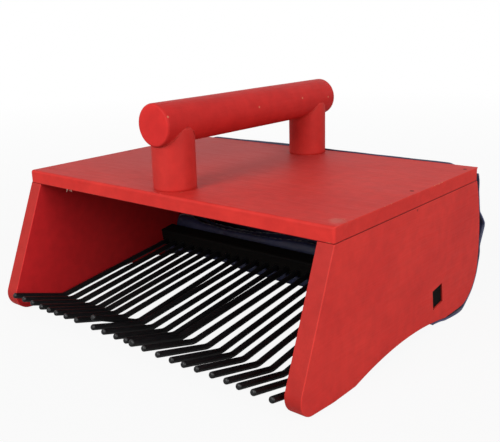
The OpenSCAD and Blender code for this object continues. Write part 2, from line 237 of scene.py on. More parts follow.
def drawn_out(tree, vector, width, length, detail):
    """Noise that is as wide as width and drawn out along X."""
    across = math_of(tree, "DIVIDE", 1.0, width)
    along = math_of(tree, "DIVIDE", 1.0, length)
    scale = add(tree, "ShaderNodeCombineXYZ", {0: along, 1: across, 2: across}).outputs[0]
    stretched = vector_of(tree, "MULTIPLY", vector, scale).outputs[0]
    return add(tree, "ShaderNodeTexNoise", {"Vector": stretched, "Scale": 1.0, "Detail": detail,
                                            "Roughness": 0.6}).outputs[0]


slow = add(grain_group, "ShaderNodeTexNoise", {"Vector": given["Vector"], "Scale": 14.0, "Detail": 2.0})
waver = add(grain_group, "ShaderNodeVectorMath", {0: slow.outputs["Color"], "Scale": 6 * MM},
            operation="SCALE")
wavy = vector_of(grain_group, "ADD", given["Vector"], waver.outputs[0])
grain_noise = drawn_out(grain_group, wavy.outputs[0], given["Grain width"], 0.09, 4.0)
brush_noise = drawn_out(grain_group, wavy.outputs[0], given["Brush width"], 0.05, 3.0)
clouds = soft_noise(grain_group, given["Vector"], 22.0, 3.0)
grain_group.links.new(grain_noise, result.inputs["Grain"])
grain_group.links.new(brush_noise, result.inputs["Brush"])
grain_group.links.new(clouds, result.inputs["Clouds"])
print("Made the group", grain_group.name)

# %% [markdown]
# On the real picker the paint is thinnest on the edges, and it chips there first. The paler colour on
# the edges is also partly a painted highlight. The group compares the true surface with one whose
# edges are rounded: where the two differ there is an edge.

# %% Edge wear and sheen
edge_wear_sheen_group, given, result = new_group(
    "Edge wear and sheen", "ShaderNodeTree",
    [("Vector", "Vector", None), ("Width", "Float", 0.0012), ("Chip size", "Float", 0.002),
     ("Chips", "Float", 0.4)],
    [("Edge", "Float"), ("Chips", "Float")])
rounded = add(edge_wear_sheen_group, "ShaderNodeBevel", {"Radius": given["Width"]}, samples=4)
facing = add(edge_wear_sheen_group, "ShaderNodeNewGeometry")
likeness = vector_of(edge_wear_sheen_group, "DOT_PRODUCT", rounded.outputs[0], facing.outputs["Normal"])
edge = spread(edge_wear_sheen_group, likeness.outputs["Value"], 0.995, 0.86)
chip_scale = math_of(edge_wear_sheen_group, "DIVIDE", 1.0, given["Chip size"])
chip_noise = soft_noise(edge_wear_sheen_group, given["Vector"], chip_scale, 3.0)
rare = times(edge_wear_sheen_group, chip_noise, soft_noise(edge_wear_sheen_group, given["Vector"], 60.0, 2.0))
worn = times(edge_wear_sheen_group, rare, edge)
threshold = minus(edge_wear_sheen_group, 0.5, times(edge_wear_sheen_group, given["Chips"], 0.25))
chipped = math_of(edge_wear_sheen_group, "GREATER_THAN", worn, threshold)
edge_wear_sheen_group.links.new(edge, result.inputs["Edge"])
edge_wear_sheen_group.links.new(chipped, result.inputs["Chips"])
print("Made the group", edge_wear_sheen_group.name)

# %% [markdown]
# The next groups are marks that lie at one place: painted shade along the joint under the roof, painted
# shade inside the hood under the roof, patches with a ragged outline, and small chips and specks.
# Each gives a mask, from 0 to 1, and the material decides which colour shows through it. The chips'
# places are in millimetres: from the middle, from the roof's front edge and from the ground.

# %% Shadow lines
seam_shade_group, given, result = new_group(
    "Shadow line", "ShaderNodeTree",
    [("Vector", "Vector", None), ("Height", "Float", 0.1), ("Half width", "Float", 0.0005)],
    [("Seam", "Float")])
# Painted shade: the paint is darkened in a thin band at the height where the roof meets the side boards.
height = add(seam_shade_group, "ShaderNodeSeparateXYZ", {0: given["Vector"]}).outputs[2]
away = math_of(seam_shade_group, "ABSOLUTE", minus(seam_shade_group, height, given["Height"]))
share = math_of(seam_shade_group, "DIVIDE", away, given["Half width"])
seam_shade_group.links.new(spread(seam_shade_group, share, 0.5, 1.0, 1.0, 0.0), result.inputs["Seam"])
print("Made the group", seam_shade_group.name)

# %% Specks
speck_group, given, result = new_group(
    "Specks", "ShaderNodeTree", [("Vector", "Vector", None), ("Spacing", "Float", 0.02)],
    [("Light", "Float"), ("Dark", "Float")])


def rare_spots(turn, radius):
    """Round spots in a few cells of a random net."""
    net_scale = math_of(speck_group, "DIVIDE", 1.0, given["Spacing"])
    turned = add(speck_group, "ShaderNodeMapping", {"Vector": given["Vector"], "Rotation": turn}).outputs[0]
    net = add(speck_group, "ShaderNodeTexVoronoi", {"Vector": turned, "Scale": net_scale})
    chosen = add(speck_group, "ShaderNodeSeparateXYZ", {0: net.outputs["Color"]}).outputs
    own_radius = times(speck_group, chosen[1], radius)
    near = math_of(speck_group, "LESS_THAN", net.outputs["Distance"], own_radius)
    return times(speck_group, near, math_of(speck_group, "GREATER_THAN", chosen[0], 0.55))


speck_group.links.new(rare_spots((0, 0, 0), 0.05), result.inputs["Light"])
speck_group.links.new(rare_spots((0.6, 0.4, 0.9), 0.045), result.inputs["Dark"])
print("Made the group", speck_group.name)

# %% Painted shade under the roof
roof_shade_group, given, result = new_group(
    "Painted shade under the roof", "ShaderNodeTree",
    [("Vector", "Vector", None), ("Inner half width", "Float", 0.13), ("Roof height", "Float", 0.1)],
    [("Shaded under roof", "Float")])
# Painted shade: a mask for the inner faces of the side boards and the roof's underside, inside the hood.
sides = add(roof_shade_group, "ShaderNodeSeparateXYZ", {0: given["Vector"]}).outputs
outside = minus(roof_shade_group, math_of(roof_shade_group, "ABSOLUTE", sides[0]), given["Inner half width"])
above = minus(roof_shade_group, sides[2], given["Roof height"])
covered = times(roof_shade_group, spread(roof_shade_group, outside, 0.4 * MM, 0.1 * MM),
                spread(roof_shade_group, above, 0.5 * MM, 0.2 * MM))
roof_shade_group.links.new(covered, result.inputs["Shaded under roof"])
print("Made the group", roof_shade_group.name)

# %% Ragged patches
patch_group, given, result = new_group(
    "Ragged patch", "ShaderNodeTree",
    [("Vector", "Vector", None), ("Middle", "Vector", None), ("Noise scale", "Float", 130.0),
     ("Noise detail", "Float", 4.0), ("Raggedness", "Float", 0.008), ("Outer", "Float", 0.0025),
     ("Inner", "Float", -0.0015)],
    [("Patch", "Float")])
off_middle = vector_of(patch_group, "DISTANCE", given["Vector"], given["Middle"]).outputs["Value"]
outline = soft_noise(patch_group, given["Vector"], given["Noise scale"], given["Noise detail"])
ragged = minus(patch_group, off_middle, times(patch_group, outline, given["Raggedness"]))
patch_group.links.new(spread(patch_group, ragged, given["Outer"], given["Inner"]), result.inputs["Patch"])
print("Made the group", patch_group.name)

# %% Small chips
CHIP_PLACES = ((14.4, 94.8, 155.2), (14.1, 149.2, 156.2), (14.6, 184.8, 153.6), (13.0, 3.2, 159.0))
chip_group, given, result = new_group(
    "Small chips", "ShaderNodeTree", [("Vector", "Vector", None), ("Radius", "Float", 0.0008)],
    [("Chips", "Float")])
struck = 0.0
for x, y, z in CHIP_PLACES:
    off_chip = vector_of(chip_group, "DISTANCE", given["Vector"], (x * MM, front_y + y * MM, z * MM))
    on_chip = math_of(chip_group, "LESS_THAN", off_chip.outputs["Value"], given["Radius"])
    struck = math_of(chip_group, "MAXIMUM", struck, on_chip)
chip_group.links.new(struck, result.inputs["Chips"])
print("Made the group", chip_group.name)

# %% [markdown]
# Dust settles on what faces up, thicker in some patches than in others.

# %% Dust
dust_group, given, result = new_group(
    "Settled dust", "ShaderNodeTree",
    [("Vector", "Vector", None), ("Amount", "Float", 0.5)], [("Dust", "Float")])
facing = add(dust_group, "ShaderNodeNewGeometry")
upward = add(dust_group, "ShaderNodeSeparateXYZ", {0: facing.outputs["Normal"]})
level = spread(dust_group, upward.outputs[2], 0.5, 0.98)
soft_patches = spread(dust_group, soft_noise(dust_group, given["Vector"], 16.0, 5.0), 0.3, 0.7, 0.45, 1.0)
fine_patches = spread(dust_group, soft_noise(dust_group, given["Vector"], 900.0, 2.0), 0.35, 0.65, 0.8, 1.0)
settled = times(dust_group, times(dust_group, soft_patches, fine_patches), level)
dust_group.links.new(times(dust_group, settled, given["Amount"]), result.inputs["Dust"])
print("Made the group", dust_group.name)

# %% [markdown]
# Where wood is sawn across its grain, the end drinks the paint or the stain, and so its tone differs
# from that of the long faces. The group finds such ends from the way that a face looks. On the side
# boards' front edges the darker end tone is partly painted shade, and on the bar's ends, down in
# their mortises, it is painted shade.

# %% Sawn ends
GRAIN_ALONG = {"X": (1, 0, 0), "Y": (0, 1, 0), "Z": (0, 0, 1)}
end_group, given, result = new_group(
    "Sawn ends", "ShaderNodeTree",
    [("Grain", "Vector", None), ("Tone", "Float", 1.0), ("End tone", "Float", 0.8)], [("Tone", "Float")])
facing = add(end_group, "ShaderNodeNewGeometry").outputs["Normal"]
across_grain = math_of(end_group, "ABSOLUTE", vector_of(
    end_group, "DOT_PRODUCT", facing, given["Grain"]).outputs["Value"])
end_share = spread(end_group, across_grain, 0.75, 0.95, given["Tone"], given["End tone"])
end_group.links.new(end_share, result.inputs["Tone"])
print("Made the group", end_group.name)

# %% [markdown]
# ## Red paint on wood
# The boards and the handle are brushed with one coat of red house paint. It is satin: light slides
# off it softly, and at a low angle it turns pale. The grain of the wood still shows through as
# fine ridges. The pattern follows the length of each piece and its tone differs, so one function
# makes four paints: for the roof, the side boards, the handle and the posts.

# %% Colours of the red paint
RED_PAINT = srgb(200, 50, 43)
DEEP_RED = srgb(186, 41, 37)
# The pale red serves the thin paint on the edges, which is partly a painted highlight, and light specks.
PALE_RED = srgb(212, 88, 74)
# The darkest red is painted shade along the joint under the roof, and also the colour of dark specks.
SHADE_AND_SPECK_RED = srgb(120, 14, 16)
# A crimson tint that darkens the paint; inside the hood, under the roof, it is painted shade.
CRIMSON_TINT = (1.05, 0.6, 0.9, 1.0)
BARE_WOOD = srgb(214, 158, 120)
GRIME = srgb(98, 74, 78)
GRIME_MIDDLE = (-80 * MM, back_y - 20 * MM, top_high.z)
RUBBED_RED = srgb(182, 112, 100)
RUBBED_MIDDLE = (half_width - 5.5 * MM, front_y + 12 * MM, top_high.z)
print("The grime's middle:", [round(side / MM) for side in GRIME_MIDDLE], "mm")


# %% [markdown]
# A paint's colour is built up in layers: the coat with painted shade under the roof, the paler edges,
# which are thin paint and a painted highlight, the chips, and then what has happened to it. The roof is
# soiled where hands have rubbed past the handle, and one corner is rubbed pale. The handle has a few chips.

# %% Marks on the pieces
def coat(tree, place, marks, edge_marks, tint_share):
    """Two close reds, paler on the edges (thin paint and a painted highlight) and chipped down to the wood. A
    crimson tint darkens the paint; where no share of it is given, it is painted shade under the roof."""
    paint = mixed(tree, spread(tree, marks["Clouds"], 0.2, 0.75), DEEP_RED, RED_PAINT)
    paint = mixed(tree, spread(tree, marks["Grain"], 0.35, 0.65, 0.0, 0.16), paint, DEEP_RED)
    if tint_share is None:
        tint_share = use_group(tree, roof_shade_group, {"Vector": place, "Inner half width": inner_x,
                                              "Roof height": top_low.z})["Shaded under roof"]
    # Under the roof this tint is painted shade; on the handle and the posts it is a fixed share.
    paint = mixed(tree, tint_share, paint, CRIMSON_TINT, "MULTIPLY")
    # Paler red on the edges: thin paint, and partly a painted highlight.
    paint = mixed(tree, times(tree, edge_marks["Edge"], 0.25), paint, PALE_RED)
    return mixed(tree, edge_marks["Chips"], paint, BARE_WOOD)


def board_marks(tree, place, paint):
    """Painted shade: a dark line along the joint between the roof and the side boards."""
    seam = use_group(tree, seam_shade_group, {"Vector": place, "Height": top_low.z})["Seam"]
    return mixed(tree, times(tree, seam, 0.85), paint, SHADE_AND_SPECK_RED)


def roof_marks(tree, place, paint):
    """Painted shade at the joint, the soiled patch behind the handle and the rubbed corner."""
    paint = board_marks(tree, place, paint)
    soiling = {"Vector": place, "Middle": GRIME_MIDDLE, "Noise scale": 11.0, "Noise detail": 5.0,
               "Raggedness": 0.1, "Outer": 0.11, "Inner": 0.0}
    patch = use_group(tree, patch_group, soiling)
    uneven = spread(tree, soft_noise(tree, place, 130.0, 4.0), 0.3, 0.7, 0.6, 1.0)
    paint = mixed(tree, times(tree, times(tree, patch["Patch"], uneven), 0.36), paint, GRIME)
    rubbed = use_group(tree, patch_group, {"Vector": place, "Middle": RUBBED_MIDDLE})["Patch"]
    return mixed(tree, times(tree, rubbed, 0.4), paint, RUBBED_RED)


def handle_marks(tree, place, paint):
    """Chips that knocks have left."""
    knocked_off = use_group(tree, chip_group, {"Vector": place})["Chips"]
    return mixed(tree, times(tree, knocked_off, 0.4), paint, BARE_WOOD)


# %% The tone of the paint
def paint_tone(tree, place, grain_axis, tone, end_tone, top_shade):
    """How bright the paint is: it has its own tone on sawn ends, is darker on faces that look up, which is
    painted shade, and is a little uneven.
    """
    ends = {"Grain": GRAIN_ALONG[grain_axis], "Tone": tone, "End tone": end_tone}
    at_end = use_group(tree, end_group, ends)["Tone"]
    facing = add(tree, "ShaderNodeNewGeometry").outputs["Normal"]
    upward = add(tree, "ShaderNodeSeparateXYZ", {0: facing}).outputs[2]
    # Painted shade: faces that look up get a darker colour.
    top_shade_factor = spread(tree, upward, 0.6, 0.95, 1.0, top_shade)
    uneven = spread(tree, soft_noise(tree, place, 130.0, 4.0), 0.3, 0.7, 0.92, 1.06)
    return times(tree, at_end, times(tree, top_shade_factor, uneven))


# %% [markdown]
# Colour, gloss and relief come together in one function. Its values are what differs from piece to
# piece: the way of the grain, the tones, painted shade on top faces, the share of a crimson tint, and its own
# marks.

# %% The red paints
def red_paint(name, grain_axis, tone, end_tone, top_shade=1.0, tint_share=None, own_marks=None, gloss=0.15,
              rough=0.45, chips=0.4):
    """Satin red paint whose brush marks run along one axis, with its own tone on sawn ends, and painted shade
    on top.
    """
    material, tree, shader = new_finish(name)
    place = add(tree, "ShaderNodeTexCoord").outputs["Object"]
    marks = use_group(tree, grain_group, {"Vector": along_grain(tree, place, grain_axis)})
    edge_marks = use_group(tree, edge_wear_sheen_group, {"Vector": place, "Chips": chips})
    paint = coat(tree, place, marks, edge_marks, tint_share)
    if own_marks:
        paint = own_marks(tree, place, paint)
    specks = use_group(tree, speck_group, {"Vector": place})
    paint = mixed(tree, times(tree, specks["Light"], 0.7), paint, PALE_RED)
    paint = mixed(tree, times(tree, specks["Dark"], 0.75), paint, SHADE_AND_SPECK_RED)
    paint = darkened(tree, paint, paint_tone(tree, place, grain_axis, tone, end_tone, top_shade))
    tree.links.new(paint, shader.inputs["Base Color"])
    sheen_marks = spread(tree, marks["Brush"], 0.3, 0.7, rough, rough + 0.13)
    tree.links.new(sheen_marks, shader.inputs["Roughness"])
    ridges = plus(tree, times(tree, marks["Grain"], 0.6), times(tree, marks["Brush"], 0.4))
    relief = {"Height": minus(tree, ridges, edge_marks["Chips"]), "Strength": 0.5, "Distance": 0.25 * MM}
    tree.links.new(add(tree, "ShaderNodeBump", relief).outputs[0], shader.inputs["Normal"])
    shader.inputs["Specular IOR Level"].default_value = gloss
    return material


# The roof's faces that look up are darkened to 0.89: painted shade.
paint_top = red_paint("red_paint_on_top", "X", 1.06, 1.04, top_shade=0.89, own_marks=roof_marks,
                      gloss=0.13, rough=0.5, chips=0.5)
# The side boards' front edges are darkened to 0.74: a sawn end, and partly painted shade.
paint_sides = red_paint("red_paint_on_sides", "Y", 1.06, 0.74, own_marks=board_marks)
# The handle's top is darkened to 0.93: painted shade.
paint_handle = red_paint("red_paint_on_handle", "Y", 0.88, 1.06, top_shade=0.93, tint_share=0.35,
                         own_marks=handle_marks, gloss=0.1)
paint_posts = red_paint("red_paint_on_posts", "Z", 0.88, 0.88, tint_share=0.1)
print("Made four red paints")

# %% [markdown]
# ## The other finishes
# The tine bar is a square stick stained nearly black, the tines are steel wire with a satin black
# lacquer, and the tacks are blued steel. These differ only in colour and gloss, so one function
# makes them all.

# %% Stained wood, lacquered wire and steel
def plain_finish(name, dark, light, rough_low, rough_high, grain_axis="X", bump_depth=0.0002, metallic=0.0,
                 specular=0.5, edge_wear_and_highlight_colour=None, end_tone=None):
    """A finish of two close colours with grain, and a paler edge: wear, and on the bar and the wire partly a
    painted highlight.
    """
    material, tree, shader = new_finish(name)
    place = add(tree, "ShaderNodeTexCoord").outputs["Object"]
    marks = use_group(tree, grain_group, {"Vector": along_grain(tree, place, grain_axis),
                                          "Grain width": 1.5 * MM, "Brush width": 0.5 * MM})
    edge_marks = use_group(tree, edge_wear_sheen_group, {"Vector": place, "Width": 0.6 * MM, "Chips": 0.2})
    colour = mixed(tree, spread(tree, marks["Grain"], 0.35, 0.65), dark, light)
    if edge_wear_and_highlight_colour:
        # Paler edges: wear, and on the bar and the wire partly a painted highlight.
        colour = mixed(tree, times(tree, edge_marks["Edge"], 0.5), colour, edge_wear_and_highlight_colour)
    if end_tone:
        ends = use_group(tree, end_group, {"Grain": GRAIN_ALONG[grain_axis], "End tone": end_tone})
        colour = darkened(tree, colour, ends["Tone"])
    tree.links.new(colour, shader.inputs["Base Color"])
    tree.links.new(spread(tree, marks["Brush"], 0.3, 0.7, rough_low, rough_high), shader.inputs["Roughness"])
    bump = add(tree, "ShaderNodeBump", {"Height": marks["Grain"], "Strength": 0.5, "Distance": bump_depth})
    tree.links.new(bump.outputs[0], shader.inputs["Normal"])
    shader.inputs["Metallic"].default_value = metallic
    shader.inputs["Specular IOR Level"].default_value = specular
    return material


# The bar's ends are darkened to 0.2: painted shade down in the mortises.
dark_wood = plain_finish("stained_dark_wood", srgb(6, 5, 5), srgb(14, 12, 10), 0.6, 0.8,
                         specular=0.08, edge_wear_and_highlight_colour=srgb(38, 36, 31), end_tone=0.2)
# The paler edge colours of the bar above and of this wire are partly painted highlight: the bar's planed front
# edge and the rims of the wire's filed ends.
black_wire = plain_finish("black_lacquered_wire", srgb(12, 12, 13), srgb(19, 19, 21), 0.32, 0.46,
                          grain_axis="Y", bump_depth=0.00006, specular=0.35, edge_wear_and_highlight_colour=srgb(52, 52, 55))
blued_steel = plain_finish("blued_steel", srgb(70, 72, 78), srgb(104, 106, 112), 0.3, 0.5, metallic=1.0,
                           bump_depth=0.00005, edge_wear_and_highlight_colour=srgb(140, 140, 146))
bare_wood = plain_finish("bare_wood", srgb(178, 140, 122), srgb(206, 172, 152), 0.6, 0.8)
print("Made the dark wood, the wire, the steel and the bare wood")

# %% [markdown]
# A nail head is dark in its middle and red at its rim: rust, and painted shade of the sunk head. The
# colour needs to know how far a point lies from the nail's middle, and the head's own mesh says so.

# %% The nails' finish
nail_finish, tree, shader = new_finish("painted_nail")
from_axis = add(tree, "ShaderNodeAttribute", attribute_name="from_axis").outputs["Fac"]
# Dark in the middle, red at the rim: rust, and painted shade of the sunk head.
tint = mixed(tree, spread(tree, from_axis, 0.6, 1.0), srgb(24, 11, 11), srgb(92, 22, 22))
tree.links.new(tint, shader.inputs["Base Color"])
shader.inputs["Roughness"].default_value = 0.7
shader.inputs["Specular IOR Level"].default_value = 0.1
print("Made the nails' paint")

# %% [markdown]
# ## Cloth
# The pouch is a closely woven navy cloth, faded outside; inside it is darker, which is painted shade. The
# weave is two sets of fine waves, one for each direction of the threads. It follows the cloth's own flat
# coordinates, so that it bends and folds with the cloth.

# %% Weave
weave_group, given, result = new_group(
    "Plain weave", "ShaderNodeTree",
    [("Vector", "Vector", None), ("Thread", "Float", 0.0005)],
    [("Height", "Float"), ("Threads", "Float")])
apart = add(weave_group, "ShaderNodeSeparateXYZ", {0: given["Vector"]})
half_turn = math_of(weave_group, "DIVIDE", math.pi, given["Thread"])


def thread_wave(axis, shift):
    """Ridges along one direction, one to each thread."""
    angle = times(weave_group, apart.outputs[axis], half_turn)
    return math_of(weave_group, "SINE", plus(weave_group, angle, shift))


warp, weft = thread_wave(0, 0.0), thread_wave(1, 0.0)
over = times(weave_group, warp, weft)
ridge = plus(weave_group, *[math_of(weave_group, "ABSOLUTE", wave) for wave in (warp, weft)])
height = plus(weave_group, times(weave_group, over, 0.35), times(weave_group, ridge, 0.3))
slub = soft_noise(weave_group, given["Vector"], 420.0, 3.0)
weave_group.links.new(height, result.inputs["Height"])
weave_group.links.new(slub, result.inputs["Threads"])
print("Made the group", weave_group.name)

# %% Navy cloth
NAVY = srgb(35, 37, 84)
FADED_NAVY = srgb(55, 58, 112)
# The two inner navies are darker than the outer ones: painted shade inside the pouch.
SHADED_INSIDE_NAVY = srgb(14, 18, 42)
SHADED_INSIDE_PALER_NAVY = srgb(22, 29, 64)
DUST_TINT = srgb(176, 128, 132)


def cloth_finish(name, dark, light, dust=None):
    """A woven cloth whose pattern lies on the cloth's own flat coordinates, in metres."""
    material, tree, shader = new_finish(name)
    flat = add(tree, "ShaderNodeUVMap", uv_map="flat").outputs[0]
    place = add(tree, "ShaderNodeTexCoord").outputs["Object"]
    weave = use_group(tree, weave_group, {"Vector": flat})
    colour = mixed(tree, spread(tree, soft_noise(tree, place, 30.0, 4.0), 0.35, 0.75), dark, light)
    colour = mixed(tree, spread(tree, weave["Threads"], 0.4, 0.7, 0.0, 0.35), colour, light)
    if dust:
        dusty = use_group(tree, dust_group, {"Vector": place, "Amount": dust})
        colour = mixed(tree, dusty["Dust"], colour, DUST_TINT)
    tree.links.new(colour, shader.inputs["Base Color"])
    tree.links.new(spread(tree, weave["Threads"], 0.3, 0.7, 0.42, 0.6), shader.inputs["Roughness"])
    bump = add(tree, "ShaderNodeBump", {"Height": weave["Height"], "Strength": 0.35, "Distance": 0.12 * MM})
    tree.links.new(bump.outputs[0], shader.inputs["Normal"])
    shader.inputs["Sheen Weight"].default_value = 0.25
    shader.inputs["Sheen Roughness"].default_value = 0.4
    return material


navy_cloth = cloth_finish("navy_cloth", NAVY, FADED_NAVY, 0.1)
shaded_inside_cloth = cloth_finish("cloth_inside_painted_shade", SHADED_INSIDE_NAVY, SHADED_INSIDE_PALER_NAVY)
thread_finish = plain_finish("navy_thread", srgb(48, 52, 100), srgb(78, 82, 132), 0.5, 0.7, specular=0.3)
print("Made the cloth's two sides and the thread")

# %% [markdown]
# ## Wooden boards with eased edges
# A sawn board never has a perfectly sharp edge: it is sanded, and the paint rounds it further. The
# packed boards have sharp edges and are made of loose triangles, so a copy is joined up, its flat
# faces are made whole, and a Bevel modifier rounds the edges that a hand would touch. Each edge has
# its own weight, so some can be rounded more than others. Holes for tacks and nails stay sharp.

# %% Helpers that finish a piece
FLAT_ANGLE = math.radians(0.5)
SHARP_ANGLE = math.radians(35)


def new_piece(name, mesh, material, slot_name, *replaced):
    """Makes an object of a mesh, gives it its finish and ties it to the picker's one body."""
    piece = bpy.data.objects.new(name, mesh)
    bpy.context.collection.objects.link(piece)
    if material:
        mesh.materials.clear()
        mesh.materials.append(material)
    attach(piece, "root")
    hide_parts(*replaced)
    return piece


def smooth(mesh):
    """Shades a mesh as one smooth surface."""
    mesh.polygons.foreach_set("use_smooth", [True] * len(mesh.polygons))
    return mesh


def eased_copy(node, is_eased, width, material, slot_name):
    """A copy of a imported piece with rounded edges: is_eased(start, end) gives each edge's share of width."""
    shape = bmesh.new()
    shape.from_mesh(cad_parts[node].data)
    bmesh.ops.remove_doubles(shape, verts=shape.verts, dist=JOINED)
    bmesh.ops.dissolve_limit(shape, angle_limit=FLAT_ANGLE, verts=shape.verts, edges=shape.edges)
    weight = shape.edges.layers.float.new("bevel_weight_edge")
    count = 0
    for e in shape.edges:
        sharp = len(e.link_faces) == 2 and e.calc_face_angle(0) > SHARP_ANGLE
        e.smooth = not sharp
        if sharp:
            e[weight] = float(is_eased(e.verts[0].co, e.verts[1].co))
            count += e[weight] > 0
    mesh = bpy.data.meshes.new(node + "_eased")
    shape.to_mesh(mesh)
    shape.free()
    piece = new_piece(node + "_painted", smooth(mesh), material, slot_name, node)
    bevel = piece.modifiers.new("Eased edges", "BEVEL")
    bevel.limit_method, bevel.width, bevel.segments = "WEIGHT", width, 3
    bevel.harden_normals = True
    print(piece.name, "has", count, "eased edges")
    return piece


# %% The boards
EASING = 0.7 * MM
ROOF_EASING = 1.9 * MM


def on_board_outline(board):
    """Edges of the flat sides of a side board, without its mortise."""
    low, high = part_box(board)
    bar_low, bar_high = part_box("tine_bar")
    slack = 1.0 * MM

    def is_eased(a, b):
        flat_side = any(abs(a.x - x) < SAME_PLACE and abs(b.x - x) < SAME_PLACE
                        for x in (low.x, high.x))
        across = abs(a.x - b.x) > 0.8 * (high.x - low.x)
        in_mortise = all(bar_low.y - slack < p.y < bar_high.y + slack
                         and bar_low.z - slack < p.z < bar_high.z + slack for p in (a, b))
        return (flat_side or across) and not in_mortise
    return is_eased


def on_box_outline(node):
    """The edges of a box-shaped piece: the upper ones are rounded most."""
    low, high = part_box(node)

    def is_eased(a, b):
        at_face = [sum(abs(a[i] - v) < SAME_PLACE and abs(b[i] - v) < SAME_PLACE
                       for v in (low[i], high[i])) for i in range(3)]
        below = max(a.z, b.z) < low.z + SAME_PLACE
        return (0.35 if below else 1.0) * (sum(at_face) >= 2)
    return is_eased


eased_copy("top_board", on_box_outline("top_board"), ROOF_EASING, paint_top, "red_wood")
for board in ("left_side_board", "right_side_board"):
    eased_copy(board, on_board_outline(board), EASING, paint_sides, "red_wood")

# %% [markdown]
# ## The tine bar
# The bar is tilted, so its long edges aren't on the faces of its box, and they are found by their
# length instead. The upper front edge has been planed off, so that berries roll over it, and it gets
# the full width of the bevel. The two ends are sawn a little short of the boards.

# %% The tine bar
LONG_EDGE = 5 * MM
RECESS = 0.9 * MM
PLANED = 2 * MM
bar_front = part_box("tine_bar")[0].y


def on_bar(a, b):
    """The share of the easing that an edge of the bar gets: the upper front one is planed off most."""
    if max(a.y, b.y) < bar_front + 0.1 * MM:
        return 1.0
    return 0.25 * ((a - b).length > LONG_EDGE)


bar = eased_copy("tine_bar", on_bar, PLANED, dark_wood, "dark_wood")
for vertex in bar.data.vertices:
    if abs(vertex.co.x) > half_width - SAME_PLACE:
        vertex.co.x -= math.copysign(RECESS, vertex.co.x)
print("The bar is", round(2 * (half_width - RECESS) / MM, 1), "mm long")

# %% [markdown]
# ## The handle and its posts
# The handle is turned, so it is a profile that goes round an axis. A helper makes such a shape from
# a list of places along the axis with their radii, and closes it at both ends. The Screw modifier
# could do it too, but here each end's rounding can be written down as a quarter circle.

# %% A helper for turned shapes
def turned(name, profile, steps, frame_matrix):
    """A closed shape of revolution: profile holds (place on the axis, radius)."""
    shape = bmesh.new()
    rings = []
    for along, radius in profile:
        if radius == 0:
            rings.append([shape.verts.new((0, 0, along))])
        else:
            rings.append([shape.verts.new((radius * math.cos(2 * math.pi * k / steps),
                                           radius * math.sin(2 * math.pi * k / steps), along))
                          for k in range(steps)])
    for low, high in zip(rings, rings[1:]):
        for k in range(steps):
            after = (k + 1) % steps
            corners = [low[k % len(low)], low[after % len(low)],
                       high[after % len(high)], high[k % len(high)]]
            shape.faces.new(list(dict.fromkeys(corners)))
    shape.transform(frame_matrix)
    bmesh.ops.recalc_face_normals(shape, faces=shape.faces)
    mesh = bpy.data.meshes.new(name)
    shape.to_mesh(mesh)
    shape.free()
    return smooth(mesh)


def quarter(centre, radius, from_angle, to_angle, steps=6):
    """Points on a quarter circle, each (place on the axis, radius)."""
    angles = [math.radians(from_angle + (to_angle - from_angle) * k / steps) for k in range(steps + 1)]
    return [(centre[0] + radius * math.sin(a), centre[1] + radius * math.cos(a)) for a in angles]


# %% The handle
handle_low, handle_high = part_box("handle_bar")
handle_r = handle_high.x
handle_z = handle_high.z - handle_r
handle_len = handle_high.y - handle_low.y
ROUNDING = 1.7 * MM
UNEVEN = 0.12 * MM
rows_along = [handle_len * k / 40 for k in range(3, 38)]
handle_profile = ([(0, 0), (0, handle_r * 0.5)]
                  + quarter((ROUNDING, handle_r - ROUNDING), ROUNDING, -90, 0)
                  + [(y, handle_r) for y in rows_along]
                  + quarter((handle_len - ROUNDING, handle_r - ROUNDING), ROUNDING, 0, 90)
                  + [(handle_len, handle_r * 0.5), (handle_len, 0)])
to_handle = Matrix.Translation((0, handle_low.y, handle_z)) @ Matrix.Rotation(-math.pi / 2, 4, "X")
handle_mesh = turned("handle", handle_profile, 96, to_handle)
for vertex in handle_mesh.vertices:
    outward = Vector((vertex.co.x, 0, vertex.co.z - handle_z))
    if outward.length > 0.9 * handle_r:
        hollow = UNEVEN * (noise.noise(vertex.co * 18) - 1)
        vertex.co += outward.normalized() * hollow
new_piece("handle_painted", handle_mesh, paint_handle, "red_wood", "handle_bar")
print("Handle", round(handle_len / MM), "mm long,", round(2 * handle_r / MM, 1), "mm thick")

# %% [markdown]
# A post is a cylinder whose top fits under the handle. Its shape follows a rule, so Geometry Nodes
# make it: a plain cylinder's points are moved up to the handle's underside. Two helpers serve this
# tree and the later ones. One ends a tree: instances become real, the surface is shaded smooth and the
# finish is set. The other runs a tree on a base mesh, and keeps the result as a plain mesh.

# %% Helpers for Geometry Nodes
def end_tree(tree, geometry, finish, result):
    """The last nodes of every tree: a real, smooth mesh with its finish."""
    real = add(tree, "GeometryNodeRealizeInstances", {"Geometry": geometry}).outputs[0]
    shaded = add(tree, "GeometryNodeSetShadeSmooth", {"Geometry": real}).outputs[0]
    finished = add(tree, "GeometryNodeSetMaterial", {"Geometry": shaded, "Material": finish}).outputs[0]
    tree.links.new(finished, result.inputs[0])


def own_place(tree):
    """The X, Y and Z of each point."""
    here = add(tree, "GeometryNodeInputPosition").outputs[0]
    return add(tree, "ShaderNodeSeparateXYZ", {0: here}).outputs


def grown(name, tree, values, base=None, slot_name=None, replaced=()):
    """Runs a tree on a base mesh, and keeps the result as a plain mesh piece."""
    host = bpy.data.objects.new(name + "_host", base or bpy.data.meshes.new(name + "_base"))
    bpy.context.collection.objects.link(host)
    modifier = host.modifiers.new("Grow", "NODES")
    modifier.node_group = tree
    for item in tree.interface.items_tree:
        if item.item_type == "SOCKET" and item.in_out == "INPUT" and item.name in values:
            modifier[item.identifier] = values[item.name]
    evaluated = host.evaluated_get(bpy.context.evaluated_depsgraph_get())
    mesh = bpy.data.meshes.new_from_object(evaluated)
    bpy.data.objects.remove(host)
    mesh.name = name
    return new_piece(name, mesh, None, slot_name, *replaced)


